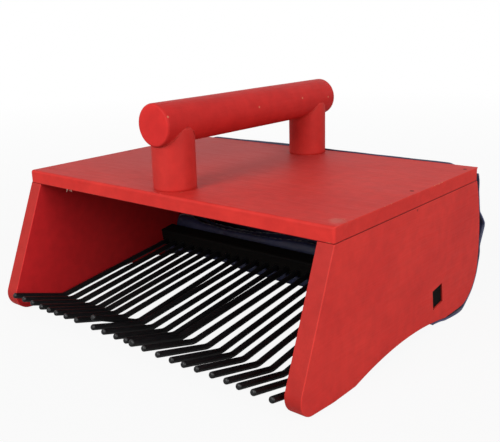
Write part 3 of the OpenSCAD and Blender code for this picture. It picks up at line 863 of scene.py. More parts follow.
# %% The tree of a handle post
post_tree, given, result = new_group(
    "Post under a handle", "GeometryNodeTree",
    [("Geometry", "Geometry", None), ("Middle", "Vector", None), ("Post radius", "Float", 0.015),
     ("Handle radius", "Float", 0.0146), ("Handle height", "Float", 0.15), ("Drop", "Float", 0.002),
     ("Taper height", "Float", 0.012), ("Paint", "Material", None)],
    [("Geometry", "Geometry")])
cylinder = {"Vertices": 96, "Side Segments": 20, "Fill Segments": 6, "Radius": given["Post radius"],
            "Depth": 1.0}
post_body = add(post_tree, "GeometryNodeMeshCylinder", cylinder).outputs[0]
here = own_place(post_tree)
squared = minus(post_tree, times(post_tree, given["Handle radius"], given["Handle radius"]),
                times(post_tree, here[0], here[0]))
depth = math_of(post_tree, "SQRT", math_of(post_tree, "MAXIMUM", squared, 0.0))
top_of_post = minus(post_tree, given["Handle height"], math_of(post_tree, "MAXIMUM", depth, given["Drop"]))
up = times(post_tree, plus(post_tree, here[2], 0.5), top_of_post)
print("Made the first half of the tree", post_tree.name)

# %% [markdown]
# Towards its top the post narrows until it is no wider than the handle, so that its upper edges don't
# stand out beside it.

# %% The post's taper
taper_start = minus(post_tree, given["Handle height"], given["Taper height"])
taper_end = minus(post_tree, given["Handle height"], given["Drop"])
tapering = spread(post_tree, up, taper_start, taper_end)
as_wide = math_of(post_tree, "DIVIDE", given["Handle radius"], given["Post radius"])
narrowest = minus(post_tree, as_wide, 0.012)
narrowed = spread(post_tree, times(post_tree, tapering, tapering), 0.0, 1.0, 1.0, narrowest)
across = times(post_tree, here[0], narrowed)
moved = add(post_tree, "ShaderNodeCombineXYZ", {0: across, 1: here[1], 2: up}).outputs[0]
seated = vector_of(post_tree, "ADD", moved, given["Middle"]).outputs[0]
placed = add(post_tree, "GeometryNodeSetPosition", {"Geometry": post_body, "Position": seated}).outputs[0]
end_tree(post_tree, placed, given["Paint"], result)
print("Made the tree", post_tree.name)

# %% The posts
post_middles = []
for node_name in ("front_handle_post", "rear_handle_post"):
    low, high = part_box(node_name)
    middle = Vector(((low.x + high.x) / 2, (low.y + high.y) / 2, low.z))
    post_middles.append(middle)
    values = {"Middle": middle, "Post radius": high.x, "Handle radius": handle_r,
              "Handle height": handle_z - low.z, "Drop": handle_z - high.z, "Paint": paint_posts}
    grown(node_name + "_painted", post_tree, values, slot_name="red_wood", replaced=[node_name])
post_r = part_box("front_handle_post")[1].x
print("Posts", round(2 * post_r / MM, 1), "mm thick")

# %% [markdown]
# ## Paint in the joints
# Paint gathers where a post meets the handle and the roof, so that there is no gap to see. Each
# joint is a closed line in space, and a thin round bead follows it. That is one small tree: it turns
# a mesh line into a curve and sweeps a circle along it.

# %% The tree of a bead
bead_tree, given, result = new_group(
    "Bead along a joint", "GeometryNodeTree",
    [("Geometry", "Geometry", None), ("Thickness", "Float", 0.0012), ("Sides", "Int", 12),
     ("Bend radius", "Float", 0.0), ("Finish", "Material", None)],
    [("Geometry", "Geometry")])
line = add(bead_tree, "GeometryNodeMeshToCurve", {"Mesh": given["Geometry"]}).outputs[0]
bent = add(bead_tree, "GeometryNodeFilletCurve", {"Curve": line, "Count": 12, "Radius": given["Bend radius"]},
           mode="POLY").outputs[0]
half_thick = math_of(bead_tree, "DIVIDE", given["Thickness"], 2.0)
section = add(bead_tree, "GeometryNodeCurvePrimitiveCircle",
              {"Resolution": given["Sides"], "Radius": half_thick}).outputs[0]
swept = add(bead_tree, "GeometryNodeCurveToMesh",
            {"Curve": bent, "Profile Curve": section, "Fill Caps": True}).outputs[0]
end_tree(bead_tree, swept, given["Finish"], result)


def line_mesh(name, points, closed=False):
    """A mesh of edges only, from point to point."""
    mesh = bpy.data.meshes.new(name)
    edges = [(k, k + 1) for k in range(len(points) - 1)] + ([(len(points) - 1, 0)] if closed else [])
    mesh.from_pydata(points, edges, [])
    return mesh


# %% The beads of paint
def post_ring(middle, radius, height_of, limit=1.0):
    """A closed line round a post, at the height that a rule gives, held within a limit from side to side."""
    ring = []
    for k in range(96):
        angle = 2 * math.pi * k / 96
        x, y = radius * math.cos(angle), radius * math.sin(angle)
        held_in = max(-limit, min(limit, x))
        ring.append((middle.x + held_in, middle.y + y, height_of(held_in)))
    return ring


def under_handle(x):
    """Height of the handle's underside above a point."""
    return handle_z - math.sqrt(max(handle_r ** 2 - x ** 2, (2 * MM) ** 2))


for label, middle in zip(("front", "rear"), post_middles):
    saddle = post_ring(middle, post_r, under_handle, 0.93 * handle_r)
    foot = post_ring(middle, post_r, lambda x: top_high.z)
    for joint, ring, thickness in (("saddle", saddle, 0.8 * MM), ("foot", foot, 0.3 * MM)):
        grown(label + "_" + joint + "_bead", bead_tree, {"Thickness": thickness, "Finish": paint_posts},
              line_mesh(label + "_" + joint, ring, closed=True), slot_name="red_wood")
print("Made four beads of paint")

# %% [markdown]
# ## The comb
# Each tine is one wire: a straight run out of its socket, a bend near the ground and a rising
# front end. The same sweep makes it, from a line of three points whose corner is rounded. The end
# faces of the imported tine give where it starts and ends, so all 24 come from one loop. A bevel
# rounds both ends, as a file would.

# %% The tines
BEND_BACK = 8 * MM
BEND_UP = 2.45 * MM
BEND_RADIUS = 14 * MM
FILED = 1.3 * MM
TO_SOCKET = Vector((0, 0.989, 0.147))
TO_TIP = Vector((0, -0.96, 0.28))
tine_names = sorted(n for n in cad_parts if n.startswith("tine_") and n[5:].isdigit())


def end_of(node_name, direction):
    """The middle of the end face of a packed wire, and the face's radius."""
    points = {tuple(round(c, 7) for c in v.co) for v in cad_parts[node_name].data.vertices}
    points = [Vector(p) for p in points]
    far = max(p.dot(direction) for p in points)
    face = [p for p in points if p.dot(direction) > far - 0.12 * MM]
    middle = sum(face, Vector()) / len(face)
    return middle, max((p - middle).length for p in face)


for node_name in tine_names:
    socket_end, wire_r = end_of(node_name, TO_SOCKET)
    corner = Vector((socket_end.x, front_y + BEND_BACK, BEND_UP))
    tip = corner + TO_TIP
    for refine in range(3):
        tip = end_of(node_name, (tip - corner).normalized())[0]
    back = (socket_end - corner) * Vector((0, 1, 1))
    share = 1 / (1 + max(0, (corner - tip).dot(back)) / back.length_squared)
    corner.x = socket_end.x + (tip.x - socket_end.x) * share
    values = {"Thickness": 2 * wire_r, "Sides": 24, "Bend radius": BEND_RADIUS, "Finish": black_wire}
    wire = grown(node_name + "_wire", bead_tree, values, line_mesh(node_name, [socket_end, corner, tip]),
                 slot_name="black_wire", replaced=[node_name])
    rim = wire.modifiers.new("Rounded ends", "BEVEL")
    rim.limit_method, rim.angle_limit = "ANGLE", math.radians(60)
    rim.width, rim.segments = FILED, 5
print(len(tine_names), "tines of", round(2 * wire_r / MM, 2), "mm wire")

# %% [markdown]
# ## Splinters
# A few fibres have lifted from the lower front edge of the roof, where nobody sanded it. Each is a
# line of three points, and the bead's tree makes it a thin bent thread of bare wood. The numbers give
# its root on the edge and the way to its middle and its end, in millimetres.

# %% Splinters
SPLINTERS = [((-96.8, -0.2, 0.3), (0.2, -0.5, -1.1), (-0.1, -0.3, -2.4)),
             ((-96.0, -0.2, 0.2), (-0.3, -0.5, -0.7), (-0.8, -0.3, -1.2)),
             ((-92.6, -0.3, 0.3), (0.4, -0.7, -0.5), (1.1, -1.1, -0.5)),
             ((-91.8, -0.1, 0.2), (0.6, -0.5, -0.5), (1.5, -0.8, -1.0))]
fibre_points, fibre_edges = [], []
for (x, y, z), middle, end in SPLINTERS:
    root = Vector((x * MM, front_y + y * MM, top_low.z + z * MM))
    first = len(fibre_points)
    fibre_edges += [(first, first + 1), (first + 1, first + 2)]
    fibre_points += [root, root + Vector(middle) * MM, root + Vector(end) * MM]
fibres = bpy.data.meshes.new("fibres")
fibres.from_pydata(fibre_points, fibre_edges, [])
grown("splinters", bead_tree, {"Thickness": 0.3 * MM, "Sides": 6, "Finish": bare_wood}, fibres,
      slot_name="red_wood")
print("Splinters:", len(SPLINTERS))

# %% [markdown]
# ## Nails and tacks
# All the fasteners are one tree, because they differ only in size: a domed head on a shank with a
# point, placed at every point of a mesh, turned along that point's own direction and rolled a little at
# random. The head starts as a flat disc, and its points rise towards the middle.

# %% The tree of a fastener
fastener_tree, given, result = new_group(
    "Fasteners on points", "GeometryNodeTree",
    [("Geometry", "Geometry", None), ("Head radius", "Float", 0.003), ("Rim", "Float", 0.0004),
     ("Dome", "Float", 0.0006), ("Shank radius", "Float", 0.0007), ("Shank length", "Float", 0.008),
     ("Tilt", "Float", 0.05), ("Seed", "Int", 3), ("Finish", "Material", None)],
    [("Geometry", "Geometry")])
flat_disc = {"Vertices": 28, "Side Segments": 2, "Fill Segments": 5, "Radius": given["Head radius"],
             "Depth": 2.0}
disc = add(fastener_tree, "GeometryNodeMeshCylinder", flat_disc).outputs[0]
here = own_place(fastener_tree)
squared = plus(fastener_tree, times(fastener_tree, here[0], here[0]), times(fastener_tree, here[1], here[1]))
share = math_of(fastener_tree, "DIVIDE", math_of(fastener_tree, "SQRT", squared), given["Head radius"])
fall = minus(fastener_tree, 1.0, math_of(fastener_tree, "POWER", share, 2.2))
above = plus(fastener_tree, given["Rim"], times(fastener_tree, given["Dome"], fall))
level = times(fastener_tree, above, plus(fastener_tree, times(fastener_tree, here[2], 0.5), 0.5))
head_place = add(fastener_tree, "ShaderNodeCombineXYZ", {0: here[0], 1: here[1], 2: level}).outputs[0]
raised = {"Geometry": disc, "Position": head_place}
head = add(fastener_tree, "GeometryNodeSetPosition", raised).outputs[0]
marks = {"Geometry": head, "Name": "from_axis", "Value": share}
marked = add(fastener_tree, "GeometryNodeStoreNamedAttribute", marks, data_type="FLOAT",
             domain="POINT").outputs[0]
print("Made a fastener's head")

# %% [markdown]
# The shank is a long cone below the head. Head and shank together are placed on each point.

# %% The shank and the placing
WHOLE_TURN = 6.28
cone = {"Vertices": 12, "Side Segments": 4, "Radius Top": given["Shank radius"], "Radius Bottom": 0.1 * MM,
        "Depth": given["Shank length"]}
shank = add(fastener_tree, "GeometryNodeMeshCone", cone).outputs[0]
below = add(fastener_tree, "ShaderNodeCombineXYZ", {2: times(fastener_tree, given["Shank length"], -1.0)})
lowered = {"Geometry": shank, "Translation": below.outputs[0]}
whole = fastener_tree.nodes.new("GeometryNodeJoinGeometry")
fastener_tree.links.new(add(fastener_tree, "GeometryNodeTransform", lowered).outputs[0], whole.inputs[0])
fastener_tree.links.new(marked, whole.inputs[0])
outward = add(fastener_tree, "GeometryNodeInputNamedAttribute", {"Name": "out"},
              data_type="FLOAT_VECTOR").outputs[0]
facing = add(fastener_tree, "FunctionNodeAlignRotationToVector", {"Vector": outward}, axis="Z").outputs[0]
least_tilt = times(fastener_tree, given["Tilt"], -1.0)
least = add(fastener_tree, "ShaderNodeCombineXYZ", {0: least_tilt, 1: least_tilt, 2: 0.0}).outputs[0]
largest = {0: given["Tilt"], 1: given["Tilt"], 2: WHOLE_TURN}
most = add(fastener_tree, "ShaderNodeCombineXYZ", largest).outputs[0]
wobble = add(fastener_tree, "FunctionNodeRandomValue", {"Min": least, "Max": most, "Seed": given["Seed"]},
             data_type="FLOAT_VECTOR").outputs[0]
roll = add(fastener_tree, "FunctionNodeEulerToRotation", {"Euler": wobble}).outputs[0]
rolled = {"Rotation": facing, "Rotate By": roll}
turn = add(fastener_tree, "FunctionNodeRotateRotation", rolled, rotation_space="LOCAL").outputs[0]
placed = add(fastener_tree, "GeometryNodeInstanceOnPoints",
             {"Points": given["Geometry"], "Instance": whole.outputs[0], "Rotation": turn}).outputs[0]
end_tree(fastener_tree, placed, given["Finish"], result)
print("Made the tree", fastener_tree.name)

# %% [markdown]
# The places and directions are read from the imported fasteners: each loose part of their mesh is one
# nail or tack. Its two farthest points are at its ends, and the end whose face has more points is
# the head.

# %% Places of the fasteners
def loose_parts(mesh):
    """The points of each loose part of a mesh, one list per part."""
    shape = bmesh.new()
    shape.from_mesh(mesh)
    bmesh.ops.remove_doubles(shape, verts=shape.verts, dist=JOINED)
    parts, seen = [], set()
    for start in shape.verts:
        if start in seen:
            continue
        part, waiting = [], [start]
        seen.add(start)
        while waiting:
            vertex = waiting.pop()
            part.append(vertex.co.copy())
            for e in vertex.link_edges:
                other = e.other_vert(vertex)
                if other not in seen:
                    seen.add(other)
                    waiting.append(other)
        parts.append(part)
    shape.free()
    return parts


def fastener_places(node_name):
    """(middle of the head's outer face, direction out of the wood) of every fastener in a node."""
    places = []
    for part in loose_parts(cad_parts[node_name].data):
        middle = sum(part, Vector()) / len(part)
        farthest = max(part, key=lambda p: (p - middle).length)
        opposite = max(part, key=lambda p: (p - farthest).length)
        found = []
        for end in (farthest, opposite):
            point = [p for p in part if (p - end).length < 0.6 * MM]
            tip = sum(point, Vector()) / len(point)
            reach = max((p - tip).length for p in part)
            face = [p for p in part if (p - tip).length > reach - 0.01 * MM]
            found.append((len(face), sum(face, Vector()) / len(face), tip))
        count, head_middle, tip = max(found, key=lambda f: f[0])
        places.append((head_middle, (head_middle - tip).normalized()))
    return places


def place_mesh(name, places, outward_by):
    """A mesh of single points, each with its direction, moved outward by a length."""
    mesh = bpy.data.meshes.new(name)
    mesh.from_pydata([head + out * outward_by for head, out in places], [], [])
    attribute = mesh.attributes.new("out", "FLOAT_VECTOR", "POINT")
    for k, (head, out) in enumerate(places):
        attribute.data[k].vector = out
    return mesh


TACK_NODES = ("top_edge_tacks", "left_edge_tacks", "right_edge_tacks", "tine_bar_tacks")
tacks = {node_name: fastener_places(node_name) for node_name in TACK_NODES}
print("Tacks:", {node_name: len(places) for node_name, places in tacks.items()})

# %% [markdown]
# The front nails are filled and painted over, so they only show as faint dents. The others were driven
# in after the painting. The screws under the handle stay as they were packed, and only get the
# finish of steel.

# %% Nails and tacks in place
nail_values = {"Head radius": 1.6 * MM, "Rim": 0.1 * MM, "Dome": 0.1 * MM, "Shank radius": 1 * MM,
               "Shank length": 37 * MM, "Tilt": 0.0, "Finish": nail_finish}
FRONT_STRIP = 40 * MM
nails = fastener_places("top_board_nails")
covered = [nail for nail in nails if nail[0].y < front_y + FRONT_STRIP]
bare = [nail for nail in nails if nail not in covered]
grown("nail_heads", fastener_tree, nail_values, place_mesh("nail_places", bare, -0.2 * MM),
      slot_name="nail_steel", replaced=["top_board_nails"])
grown("covered_nail_heads", fastener_tree, nail_values | {"Finish": paint_top},
      place_mesh("covered_nail_places", covered, -0.15 * MM), slot_name="nail_steel")
tack_values = {"Head radius": 3 * MM, "Rim": 0.3 * MM, "Dome": 0.9 * MM, "Shank radius": 0.75 * MM,
               "Shank length": 8 * MM, "Tilt": 0.06, "Finish": blued_steel}
PRESSED = 1.25 * MM
for node_name, places in tacks.items():
    pressed_in = place_mesh(node_name + "_places", places, -PRESSED)
    grown(node_name + "_domed", fastener_tree, tack_values, pressed_in, slot_name="nail_steel",
          replaced=[node_name])
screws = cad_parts["handle_screws"].data
screws.materials.clear()
screws.materials.append(blued_steel)
print(len(nails), "nails")

# %% [markdown]
# ## The pouch
# The pouch is one rectangle of cloth. It is tacked under the bar, round the rear edges of the side
# boards and along the rear edge of the roof, and between these edges it hangs free. So it is a grid:
# its rows run from the bar, under the heel, up the back and to the roof, and its columns from side
# to side. What lies on wood is pinned where it is, and the cloth simulation lets the rest sag under
# its own weight until it rests. The cloth has a little more length than it needs, and that gives
# its folds. First comes the line that the rows follow, seen from the side.

# %% The line that the cloth follows
def board_outline(board):
    """The outline of a side board as (y, z) points, from below the front round the back to the top."""
    face_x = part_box(board)[1].x
    bar_low, bar_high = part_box("tine_bar")
    on_face = {(round(v.co.y, 6), round(v.co.z, 6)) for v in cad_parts[board].data.vertices
               if abs(v.co.x - face_x) < SAME_PLACE}
    outside = [p for p in on_face if not (bar_low.y - MM < p[0] < bar_high.y + MM
                                          and bar_low.z - MM < p[1] < bar_high.z + MM)]
    middle = ((front_y + back_y) / 2, top_low.z / 2)
    return sorted(outside, key=lambda p: math.atan2(p[1] - middle[1], p[0] - middle[0]))


class Line:
    """A line of (y, z) points that is measured by its length."""

    def __init__(self, points):
        self.points = np.array(points)
        steps = np.linalg.norm(np.diff(self.points, axis=0), axis=1)
        self.at = np.concatenate([[0], np.cumsum(steps)])
        self.length = self.at[-1]

    def point(self, s):
        """The place at a length along the line."""
        return np.array([np.interp(s, self.at, self.points[:, 0]), np.interp(s, self.at, self.points[:, 1])])

    def outward(self, s):
        """The direction square to the line, away from the wood."""
        ahead = self.point(min(s + 1.5 * MM, self.length)) - self.point(max(s - 1.5 * MM, 0))
        return np.array([ahead[1], -ahead[0]]) / np.linalg.norm(ahead)


bar_low, bar_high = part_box("tine_bar")
bar_middle = np.array([(bar_low.y + bar_high.y) / 2, (bar_low.z + bar_high.z) / 2])
bar_ends = {(round(v.co.y, 5), round(v.co.z, 5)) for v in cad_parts["tine_bar"].data.vertices
            if abs(v.co.x - bar_high.x) < SAME_PLACE}
under_front, under_back = [np.array(p) for p in sorted(bar_ends, key=lambda p: p[1])[:2]]
along_bar = (under_back - under_front) / np.linalg.norm(under_back - under_front)
below_bar = np.array([along_bar[1], -along_bar[0]])
cloth_start = bar_middle[0] - 5 * MM
whole_outline = board_outline("right_side_board")
top_corner = max(range(len(whole_outline)), key=lambda k: whole_outline[k][0] / 50 + whole_outline[k][1])
under_wood = [p for p in whole_outline[:top_corner + 1]
              if p[0] > cloth_start and p[1] < top_low.z - SAME_PLACE]
start_z = under_wood[0][1] + 0.3 * MM
TOP_STAND = 1.5 * MM
behind_roof = [(back_y, top_low.z), (back_y, top_high.z + TOP_STAND)]
wood_line = Line([(cloth_start, start_z)] + under_wood + behind_roof)
print("The cloth's line is", round(wood_line.length / MM), "mm long")

# %% [markdown]
# The grid has a point about every 2.5 mm: coarse enough to hang in seconds, and fine enough for the
# folds. The first rows are the hem and what lies under the bar, then come the floor of the pouch and
# its back.

# %% Rows and columns
COLUMNS = 121
SIDE_MARGIN = 1 * MM
HEM_ROWS, BAR_ROWS, FLOOR_ROWS, BACK_ROWS = 4, 7, 32, 46
FRONT_ROWS = HEM_ROWS + BAR_ROWS + FLOOR_ROWS
ROWS = FRONT_ROWS + BACK_ROWS + 1
CLOTH_HALF = 0.33 * MM
FLOOR_GAP = 2.1 * CLOTH_HALF
heel_z = min(z for y, z in under_wood if y > bar_high.y)
heel_end = max(y for y, z in under_wood if z < heel_z + SAME_PLACE)
past_heel = wood_line.points[:, 0] >= heel_end
join_at = float(np.interp(heel_z + 5 * MM, wood_line.points[past_heel, 1], wood_line.at[past_heel]))
roof_at = wood_line.length - (top_high.z - top_low.z) - TOP_STAND
tack_heads = np.array([head for places in tacks.values() for head, out in places])
print("The floor of the pouch ends", round(join_at / MM), "mm along the line")

# %% Curves for waves and folds
def ease(t):
    """0 below 0, 1 above 1 and smooth between."""
    t = min(1.0, max(0.0, t))
    return t * t * (3 - 2 * t)


def bump(value, middle, width):
    """1 in the middle, falling smoothly to 0 on both sides."""
    return math.exp(-((value - middle) / width) ** 2)


def fold(value, middle, before, after):
    """1 in the middle, falling straight to 0 over one width below it and another above it."""
    return max(0.0, 1 - (middle - value) / before if value < middle else 1 - (value - middle) / after)


# %% [markdown]
# Along the side boards and the roof the cloth lies on wood. It is tight at the tacks and lifts a
# little between them. At the right rear edge a sharp pleat stands out, and near the roof and the heel
# it waves softly.

# %% The cloth over the boards
LYING = 0.75 * MM
BELLY = 5 * MM


def edge_stand(x, z):
    """How far the cloth stands off the rear edges of the side boards: a sharp pleat and two soft waves."""
    middle, height = (58 * MM, 9.5 * MM) if x > 0 else (46 * MM, 5 * MM)
    pleat = height * fold(z, middle, 15 * MM, 13 * MM) * bump(abs(x), half_width, 24 * MM)
    waves = 2.2 * MM * bump(z, 36 * MM, 8 * MM) + 3 * MM * bump(z, 96 * MM, 7 * MM)
    return pleat + waves * ease((abs(x) - inner_x) / (half_width - inner_x))


def over_wood(x, row):
    """A point of the cloth's line along the side boards and the roof, with the cloth's own waves."""
    if row <= FRONT_ROWS:
        s = join_at * row / FRONT_ROWS
    else:
        s = join_at + (wood_line.length - join_at) * (row - FRONT_ROWS) / BACK_ROWS
    y, z = wood_line.point(s)
    nearest = np.min(np.linalg.norm(tack_heads - np.array([x, y, z]), axis=1))
    lift = LYING + LYING * (1 - bump(nearest, 0, 12 * MM))
    belly = math.sin(math.pi * min(1.0, max(0.0, (s - join_at) / (roof_at - join_at))))
    lift += BELLY * belly * max(0.0, 1 - (x / inner_x) ** 2) + edge_stand(x, z)
    place = np.array([y, z]) + wood_line.outward(s) * lift
    on_roof = ease((s - roof_at - 3 * MM) / (wood_line.length - roof_at - 3 * MM))
    above = LYING + LYING * bump(x, -38 * MM, 42 * MM)
    above -= 6 * MM * ease((abs(x) - 118 * MM) / (20 * MM))
    place[1] += (above - TOP_STAND) * on_roof
    return place


# %% [markdown]
# Behind the bar the cloth is crumpled: it rises from the bar's underside to a crest, falls, rises to a
# second fold and runs down to the pouch's floor. The folds are corners of a line whose points change
# slowly from left to right, and the corners are cut, so that no crease is sharp.

# %% The folds behind the bar
def hem_hang(x):
    """How far the front hem hangs below the bar."""
    x /= MM
    lower = 5.0 * ease((x + 75) / 70) - 1.5 * ease((x - 40) / 60)
    return (1.6 + lower + 0.4 * math.sin(x / 6.5)) * MM


def eased_line(corners, share):
    """A place on a line through some corners, at a share of its length, with the corners cut."""
    line = Line(corners)
    window = [-0.06, -0.03, 0, 0.03, 0.06]
    reach = min(1.0, 8 * share, 8 * (1 - share))
    return sum(line.point(line.length * (share + w * reach)) for w in window) / len(window)


def under_bar(x, row):
    """A point of the cloth's line along the bar's underside and over the folds on the pouch's floor."""
    edge = under_front + below_bar * MM
    hem = edge + below_bar * hem_hang(x) - along_bar * 1.2 * MM
    rear = under_back + below_bar * MM
    if row <= HEM_ROWS:
        return hem + (edge - hem) * row / HEM_ROWS
    if row <= HEM_ROWS + BAR_ROWS:
        return edge + (rear - edge) * (row - HEM_ROWS) / BAR_ROWS
    right = ease((x / MM + 70) / 110)
    wave = math.sin(x / MM / 17 + 1) + 0.6 * math.sin(x / MM / 9.5)
    foot_y = under_back[0]
    corners = [rear, (foot_y + 2.0 * MM, 21 * MM), (foot_y + 1.5 * MM, 31 * MM),
               (foot_y + (4.5 + 0.4 * wave) * MM, (38.5 + 2.5 * right + 0.5 * wave) * MM),
               (foot_y + (9 + wave) * MM, (32 + 3 * right) * MM),
               (foot_y + (15 + wave) * MM, (23 + 9 * right) * MM),
               (foot_y + (22 - wave) * MM, (34 + 10 * right + wave) * MM),
               (foot_y + (29 - wave) * MM, (24 + 4 * right) * MM),
               (foot_y + 36 * MM, (11 + 3 * wave) * MM), over_wood(x, FRONT_ROWS)]
    return eased_line(corners, (row - HEM_ROWS - BAR_ROWS) / FLOOR_ROWS)


# %% The grid before it hangs
places, pinned, crumpled = [], [], []
for column in range(COLUMNS):
    x = -half_width + 0.3 * MM + (2 * half_width - 0.6 * MM) * column / (COLUMNS - 1)
    for row in range(ROWS):
        place = over_wood(x, row)
        if row < FRONT_ROWS and abs(x) < inner_x - SIDE_MARGIN:
            place = under_bar(x, row)
        flare = 1.6 * MM * bump(place[0], front_y + 167 * MM, 13 * MM) * bump(place[1], 0, 8 * MM)
        sideways = math.copysign(flare * ease((abs(x) - inner_x) / (half_width - inner_x)), x)
        places.append((x + sideways, place[0], max(place[1] - 0.4 * flare * (abs(x) > inner_x), FLOOR_GAP)))
        on_side = abs(x) > inner_x - SIDE_MARGIN
        on_roof = places[-1][2] > top_low.z - 1 * MM
        if on_side or on_roof or row <= HEM_ROWS + BAR_ROWS:
            pinned.append(len(places) - 1)
        elif row < FRONT_ROWS:
            crumpled.append(len(places) - 1)
grid = np.array(places).reshape(COLUMNS, ROWS, 3)
row_steps = np.linalg.norm(np.diff(grid, axis=1), axis=2).mean(axis=0)
flat_v = np.concatenate([[0], np.cumsum(row_steps)])
flat_u = np.linspace(-half_width, half_width, COLUMNS)


# %% The cloth's mesh
def cloth_mesh(name, grid):
    """A mesh over a grid of points, its faces outward, with the flat cloth's place of each point."""
    faces = []
    for column in range(COLUMNS - 1):
        for row in range(ROWS - 1):
            a = column * ROWS + row
            faces.append((a, a + 1, a + ROWS + 1, a + ROWS))
    mesh = bpy.data.meshes.new(name)
    mesh.from_pydata(grid.reshape(-1, 3).tolist(), [], faces)
    flat = mesh.uv_layers.new(name="flat")
    for corner in mesh.loops:
        column, row = divmod(corner.vertex_index, ROWS)
        flat.data[corner.index].uv = (flat_u[column], flat_v[row])
    return smooth(mesh)


# %% [markdown]
# The cloth simulation is made for pieces as large as a curtain, so the grid is made ten times as
# large for it and is brought back afterwards. The cloth gets three percent more length than the grid
# gives it, and a light push from inside, as if berries had stretched it.

# %% Letting the cloth hang
SCALE, SLACK, FRAMES = 10, 0.03, 45
HOLD, PUSH, BEND = 0.5, 0.3, 0.4


def hang(grid):
    """Lets the free part of the cloth sag until it rests, and gives the grid back."""
    host = bpy.data.objects.new("cloth_host", cloth_mesh("cloth_start", grid * SCALE))
    bpy.context.collection.objects.link(host)
    held = host.vertex_groups.new(name="held")
    held.add(pinned, 1.0, "REPLACE")
    held.add(crumpled, HOLD, "REPLACE")
    ground = bpy.data.objects.new("cloth_ground", bpy.data.meshes.new("cloth_ground"))
    ground.data.from_pydata([(-3, -3, 0), (3, -3, 0), (3, 3, 0), (-3, 3, 0)], [], [(0, 1, 2, 3)])
    bpy.context.collection.objects.link(ground)
    ground.modifiers.new("Ground", "COLLISION")
    ground.collision.thickness_outer = 0.005
    cloth = host.modifiers.new("Cloth", "CLOTH")
    cloth.settings.quality = 6
    cloth.settings.vertex_group_mass = "held"
    cloth.settings.mass = 0.3
    cloth.settings.tension_stiffness = cloth.settings.compression_stiffness = 25
    cloth.settings.shear_stiffness = 8
    cloth.settings.bending_stiffness = BEND
    cloth.settings.shrink_min = -SLACK
    cloth.settings.air_damping = 3
    cloth.settings.use_pressure = True
    cloth.settings.uniform_pressure_force = PUSH
    cloth.collision_settings.distance_min = CLOTH_HALF * SCALE
    cloth.point_cache.frame_start, cloth.point_cache.frame_end = 1, FRAMES
    for frame_number in range(1, FRAMES + 1):
        bpy.context.scene.frame_set(frame_number)
    evaluated = host.evaluated_get(bpy.context.evaluated_depsgraph_get()).data
    found = np.empty(len(evaluated.vertices) * 3)
    evaluated.vertices.foreach_get("co", found)
    bpy.context.scene.frame_set(1)
    for helper in (host, ground):
        bpy.data.objects.remove(helper)
    return found.reshape(grid.shape) / SCALE


hung = hang(grid)
moved_by = np.linalg.norm(hung - grid, axis=2)
print("The cloth moved by", round(float(moved_by.max()) / MM, 1), "mm at most")

# %% [markdown]
# In the left corner the cloth is caught on the end of the bar and stands up higher than the simulation
# leaves it, so it is raised there afterwards.

# %% The raised corner
CORNER_RISE, CORNER_FROM, CORNER_OVER = 13 * MM, -96 * MM, 24 * MM
for column in range(COLUMNS):
    for row in range(FRONT_ROWS):
        share = (row - HEM_ROWS - BAR_ROWS) / FLOOR_ROWS
        if abs(flat_u[column]) < inner_x - SIDE_MARGIN:
            into_corner = ease((CORNER_FROM - flat_u[column]) / CORNER_OVER)
            hung[column, row, 2] += CORNER_RISE * into_corner * bump(share, 0.44, 0.15)
hung[:, :, 2] = np.maximum(hung[:, :, 2], FLOOR_GAP)
print("Its lowest point is", round(float(hung[:, :, 2].min()) / MM, 2), "mm above the ground")

# %% [markdown]
# The cloth is folded over and stitched down along its edges, so it is twice as thick there. The
# Solidify modifier takes its thickness from a group of points, and gives the inner side the darker
# finish, which is painted shade.

# %% The pouch
pouch = new_piece("pouch_hung", cloth_mesh("pouch", hung), navy_cloth, "navy_cloth", "pouch_cloth")
hems = pouch.vertex_groups.new(name="hems")
HEM = 6 * MM
for column in range(COLUMNS):
    for row in range(ROWS):
        inside = min(flat_u[column] - flat_u[0], flat_u[-1] - flat_u[column],
                     flat_v[row], flat_v[-1] - flat_v[row])
        hems.add([column * ROWS + row], 1.0 if inside < HEM else 0.5, "REPLACE")
thick = pouch.modifiers.new("Thickness", "SOLIDIFY")
thick.thickness, thick.offset, thick.vertex_group = 4 * CLOTH_HALF, 0.0, "hems"
pouch.data.materials.append(shaded_inside_cloth)
thick.material_offset = 1

# %% [markdown]
# ## Stitches
# Stitches sit evenly on a line along the hems. The line becomes a curve, the curve is cut into equal
# steps, and each step gets one short thread, turned along the line.

# %% The tree of the stitches
THREAD_SIDES, THREAD_RINGS = 8, 6
stitch_tree, given, result = new_group(
    "Stitches along a line", "GeometryNodeTree",
    [("Geometry", "Geometry", None), ("Spacing", "Float", 0.0029), ("Stitch length", "Float", 0.0023),
     ("Thread", "Float", 0.00045), ("Seed", "Int", 5), ("Finish", "Material", None)],
    [("Geometry", "Geometry")])
line = add(stitch_tree, "GeometryNodeMeshToCurve", {"Mesh": given["Geometry"]}).outputs[0]
steps = add(stitch_tree, "GeometryNodeResampleCurve", {"Curve": line, "Length": given["Spacing"]},
            mode="LENGTH").outputs[0]
ball = {"Segments": THREAD_SIDES, "Rings": THREAD_RINGS, "Radius": 0.5}
thread = add(stitch_tree, "GeometryNodeMeshUVSphere", ball).outputs[0]
along = add(stitch_tree, "GeometryNodeInputTangent").outputs[0]
turn = add(stitch_tree, "FunctionNodeAlignRotationToVector", {"Vector": along}, axis="Z").outputs[0]
uneven = add(stitch_tree, "FunctionNodeRandomValue", {2: 0.88, 3: 1.06, "Seed": given["Seed"]},
             data_type="FLOAT").outputs[1]
long = times(stitch_tree, given["Stitch length"], uneven)
size = add(stitch_tree, "ShaderNodeCombineXYZ", {0: given["Thread"], 1: given["Thread"], 2: long}).outputs[0]
sewn = add(stitch_tree, "GeometryNodeInstanceOnPoints",
           {"Points": steps, "Instance": thread, "Rotation": turn, "Scale": size}).outputs[0]
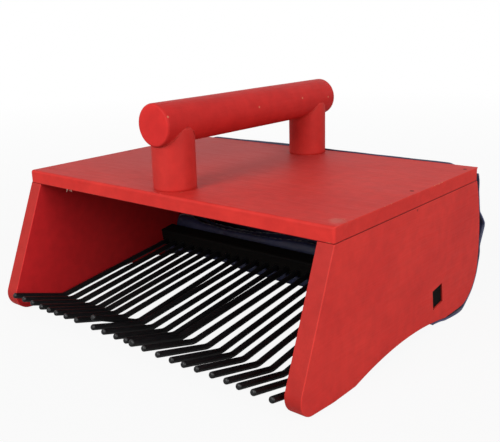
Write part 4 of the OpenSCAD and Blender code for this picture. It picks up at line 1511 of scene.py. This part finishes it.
end_tree(stitch_tree, sewn, given["Finish"], result)
print("Made the tree", stitch_tree.name)

# %% The stitches
INSIDE = 2
STITCH_FLOOR = 0.3 * MM
normals = np.empty(len(pouch.data.vertices) * 3)
pouch.data.vertices.foreach_get("normal", normals)
skin = hung + normals.reshape(hung.shape) * 2.15 * CLOTH_HALF
skin[:, :, 2] = np.maximum(skin[:, :, 2], STITCH_FLOOR)
low_row, high_row = INSIDE, ROWS - 1 - INSIDE
left_column, right_column = INSIDE, COLUMNS - 1 - INSIDE
seam = ([skin[c, low_row] for c in range(left_column, right_column)]
        + [skin[right_column, r] for r in range(low_row, high_row)]
        + [skin[c, high_row] for c in range(right_column, left_column, -1)]
        + [skin[left_column, r] for r in range(high_row, low_row, -1)])
stitches = grown("hem_stitches", stitch_tree, {"Finish": thread_finish},
                 line_mesh("seam", [p.tolist() for p in seam], closed=True), slot_name="navy_cloth")
print("Stitches:", len(stitches.data.polygons) // (THREAD_SIDES * THREAD_RINGS))

# %% [markdown]
# ## Floor and light
# The picker stands on a plain pale floor under soft light: a broad lamp from the front, a weaker
# one from the right and an even grey sky. The camera and mirror-like surfaces see the sky as white.

# %% The floor
bpy.ops.mesh.primitive_plane_add(size=16, location=(0, 0, -0.05 * MM))
floor = bpy.context.object
floor.name = "studio_floor"
floor_paint, tree, shader = new_finish("pale_floor")
shader.inputs["Base Color"].default_value = (0.4, 0.4, 0.4, 1)
shader.inputs["Roughness"].default_value = 1.0
seen = add(tree, "ShaderNodeLightPath").outputs["Is Camera Ray"]
white = add(tree, "ShaderNodeEmission", {"Color": (1, 1, 1, 1), "Strength": 1.0}).outputs[0]
place = add(tree, "ShaderNodeTexCoord").outputs["Object"]
far = add(tree, "ShaderNodeVectorMath", {0: place}, operation="LENGTH").outputs["Value"]
pale = times(tree, seen, spread(tree, far, 0.3, 1.6, 0.92, 1.0))
both = add(tree, "ShaderNodeMixShader", {0: pale, 1: shader.outputs[0], 2: white}).outputs[0]
tree.links.new(both, tree.nodes["Material Output"].inputs["Surface"])
floor.data.materials.append(floor_paint)

# %% The sky and the lamps
world = bpy.data.worlds.new("studio")
bpy.context.scene.world = world
world.use_nodes = True
tree = world.node_tree
path = add(tree, "ShaderNodeLightPath")
shown = math_of(tree, "MAXIMUM", path.outputs["Is Camera Ray"],
                math_of(tree, "MAXIMUM", path.outputs["Is Glossy Ray"], path.outputs["Is Transmission Ray"]))
strength = spread(tree, shown, 0.0, 1.0, 0.46, 1.0)
tree.links.new(strength, tree.nodes["Background"].inputs["Strength"])
tree.nodes["Background"].inputs["Color"].default_value = (1, 1, 1, 1)


def soft_lamp(name, place, target, size, watts):
    """A square lamp that gives soft shadows."""
    data = bpy.data.lights.new(name, "AREA")
    data.size, data.energy = size, watts
    lamp = bpy.data.objects.new(name, data)
    bpy.context.collection.objects.link(lamp)
    aim(lamp, Vector(place), Vector(target) - Vector(place))


soft_lamp("key_lamp", (0.0, -1.55, 0.95), (0, 0, 0.05), 0.8, 21)
soft_lamp("side_lamp", (1.5, -0.3, 0.7), (0, 0, 0.05), 0.9, 12.5)
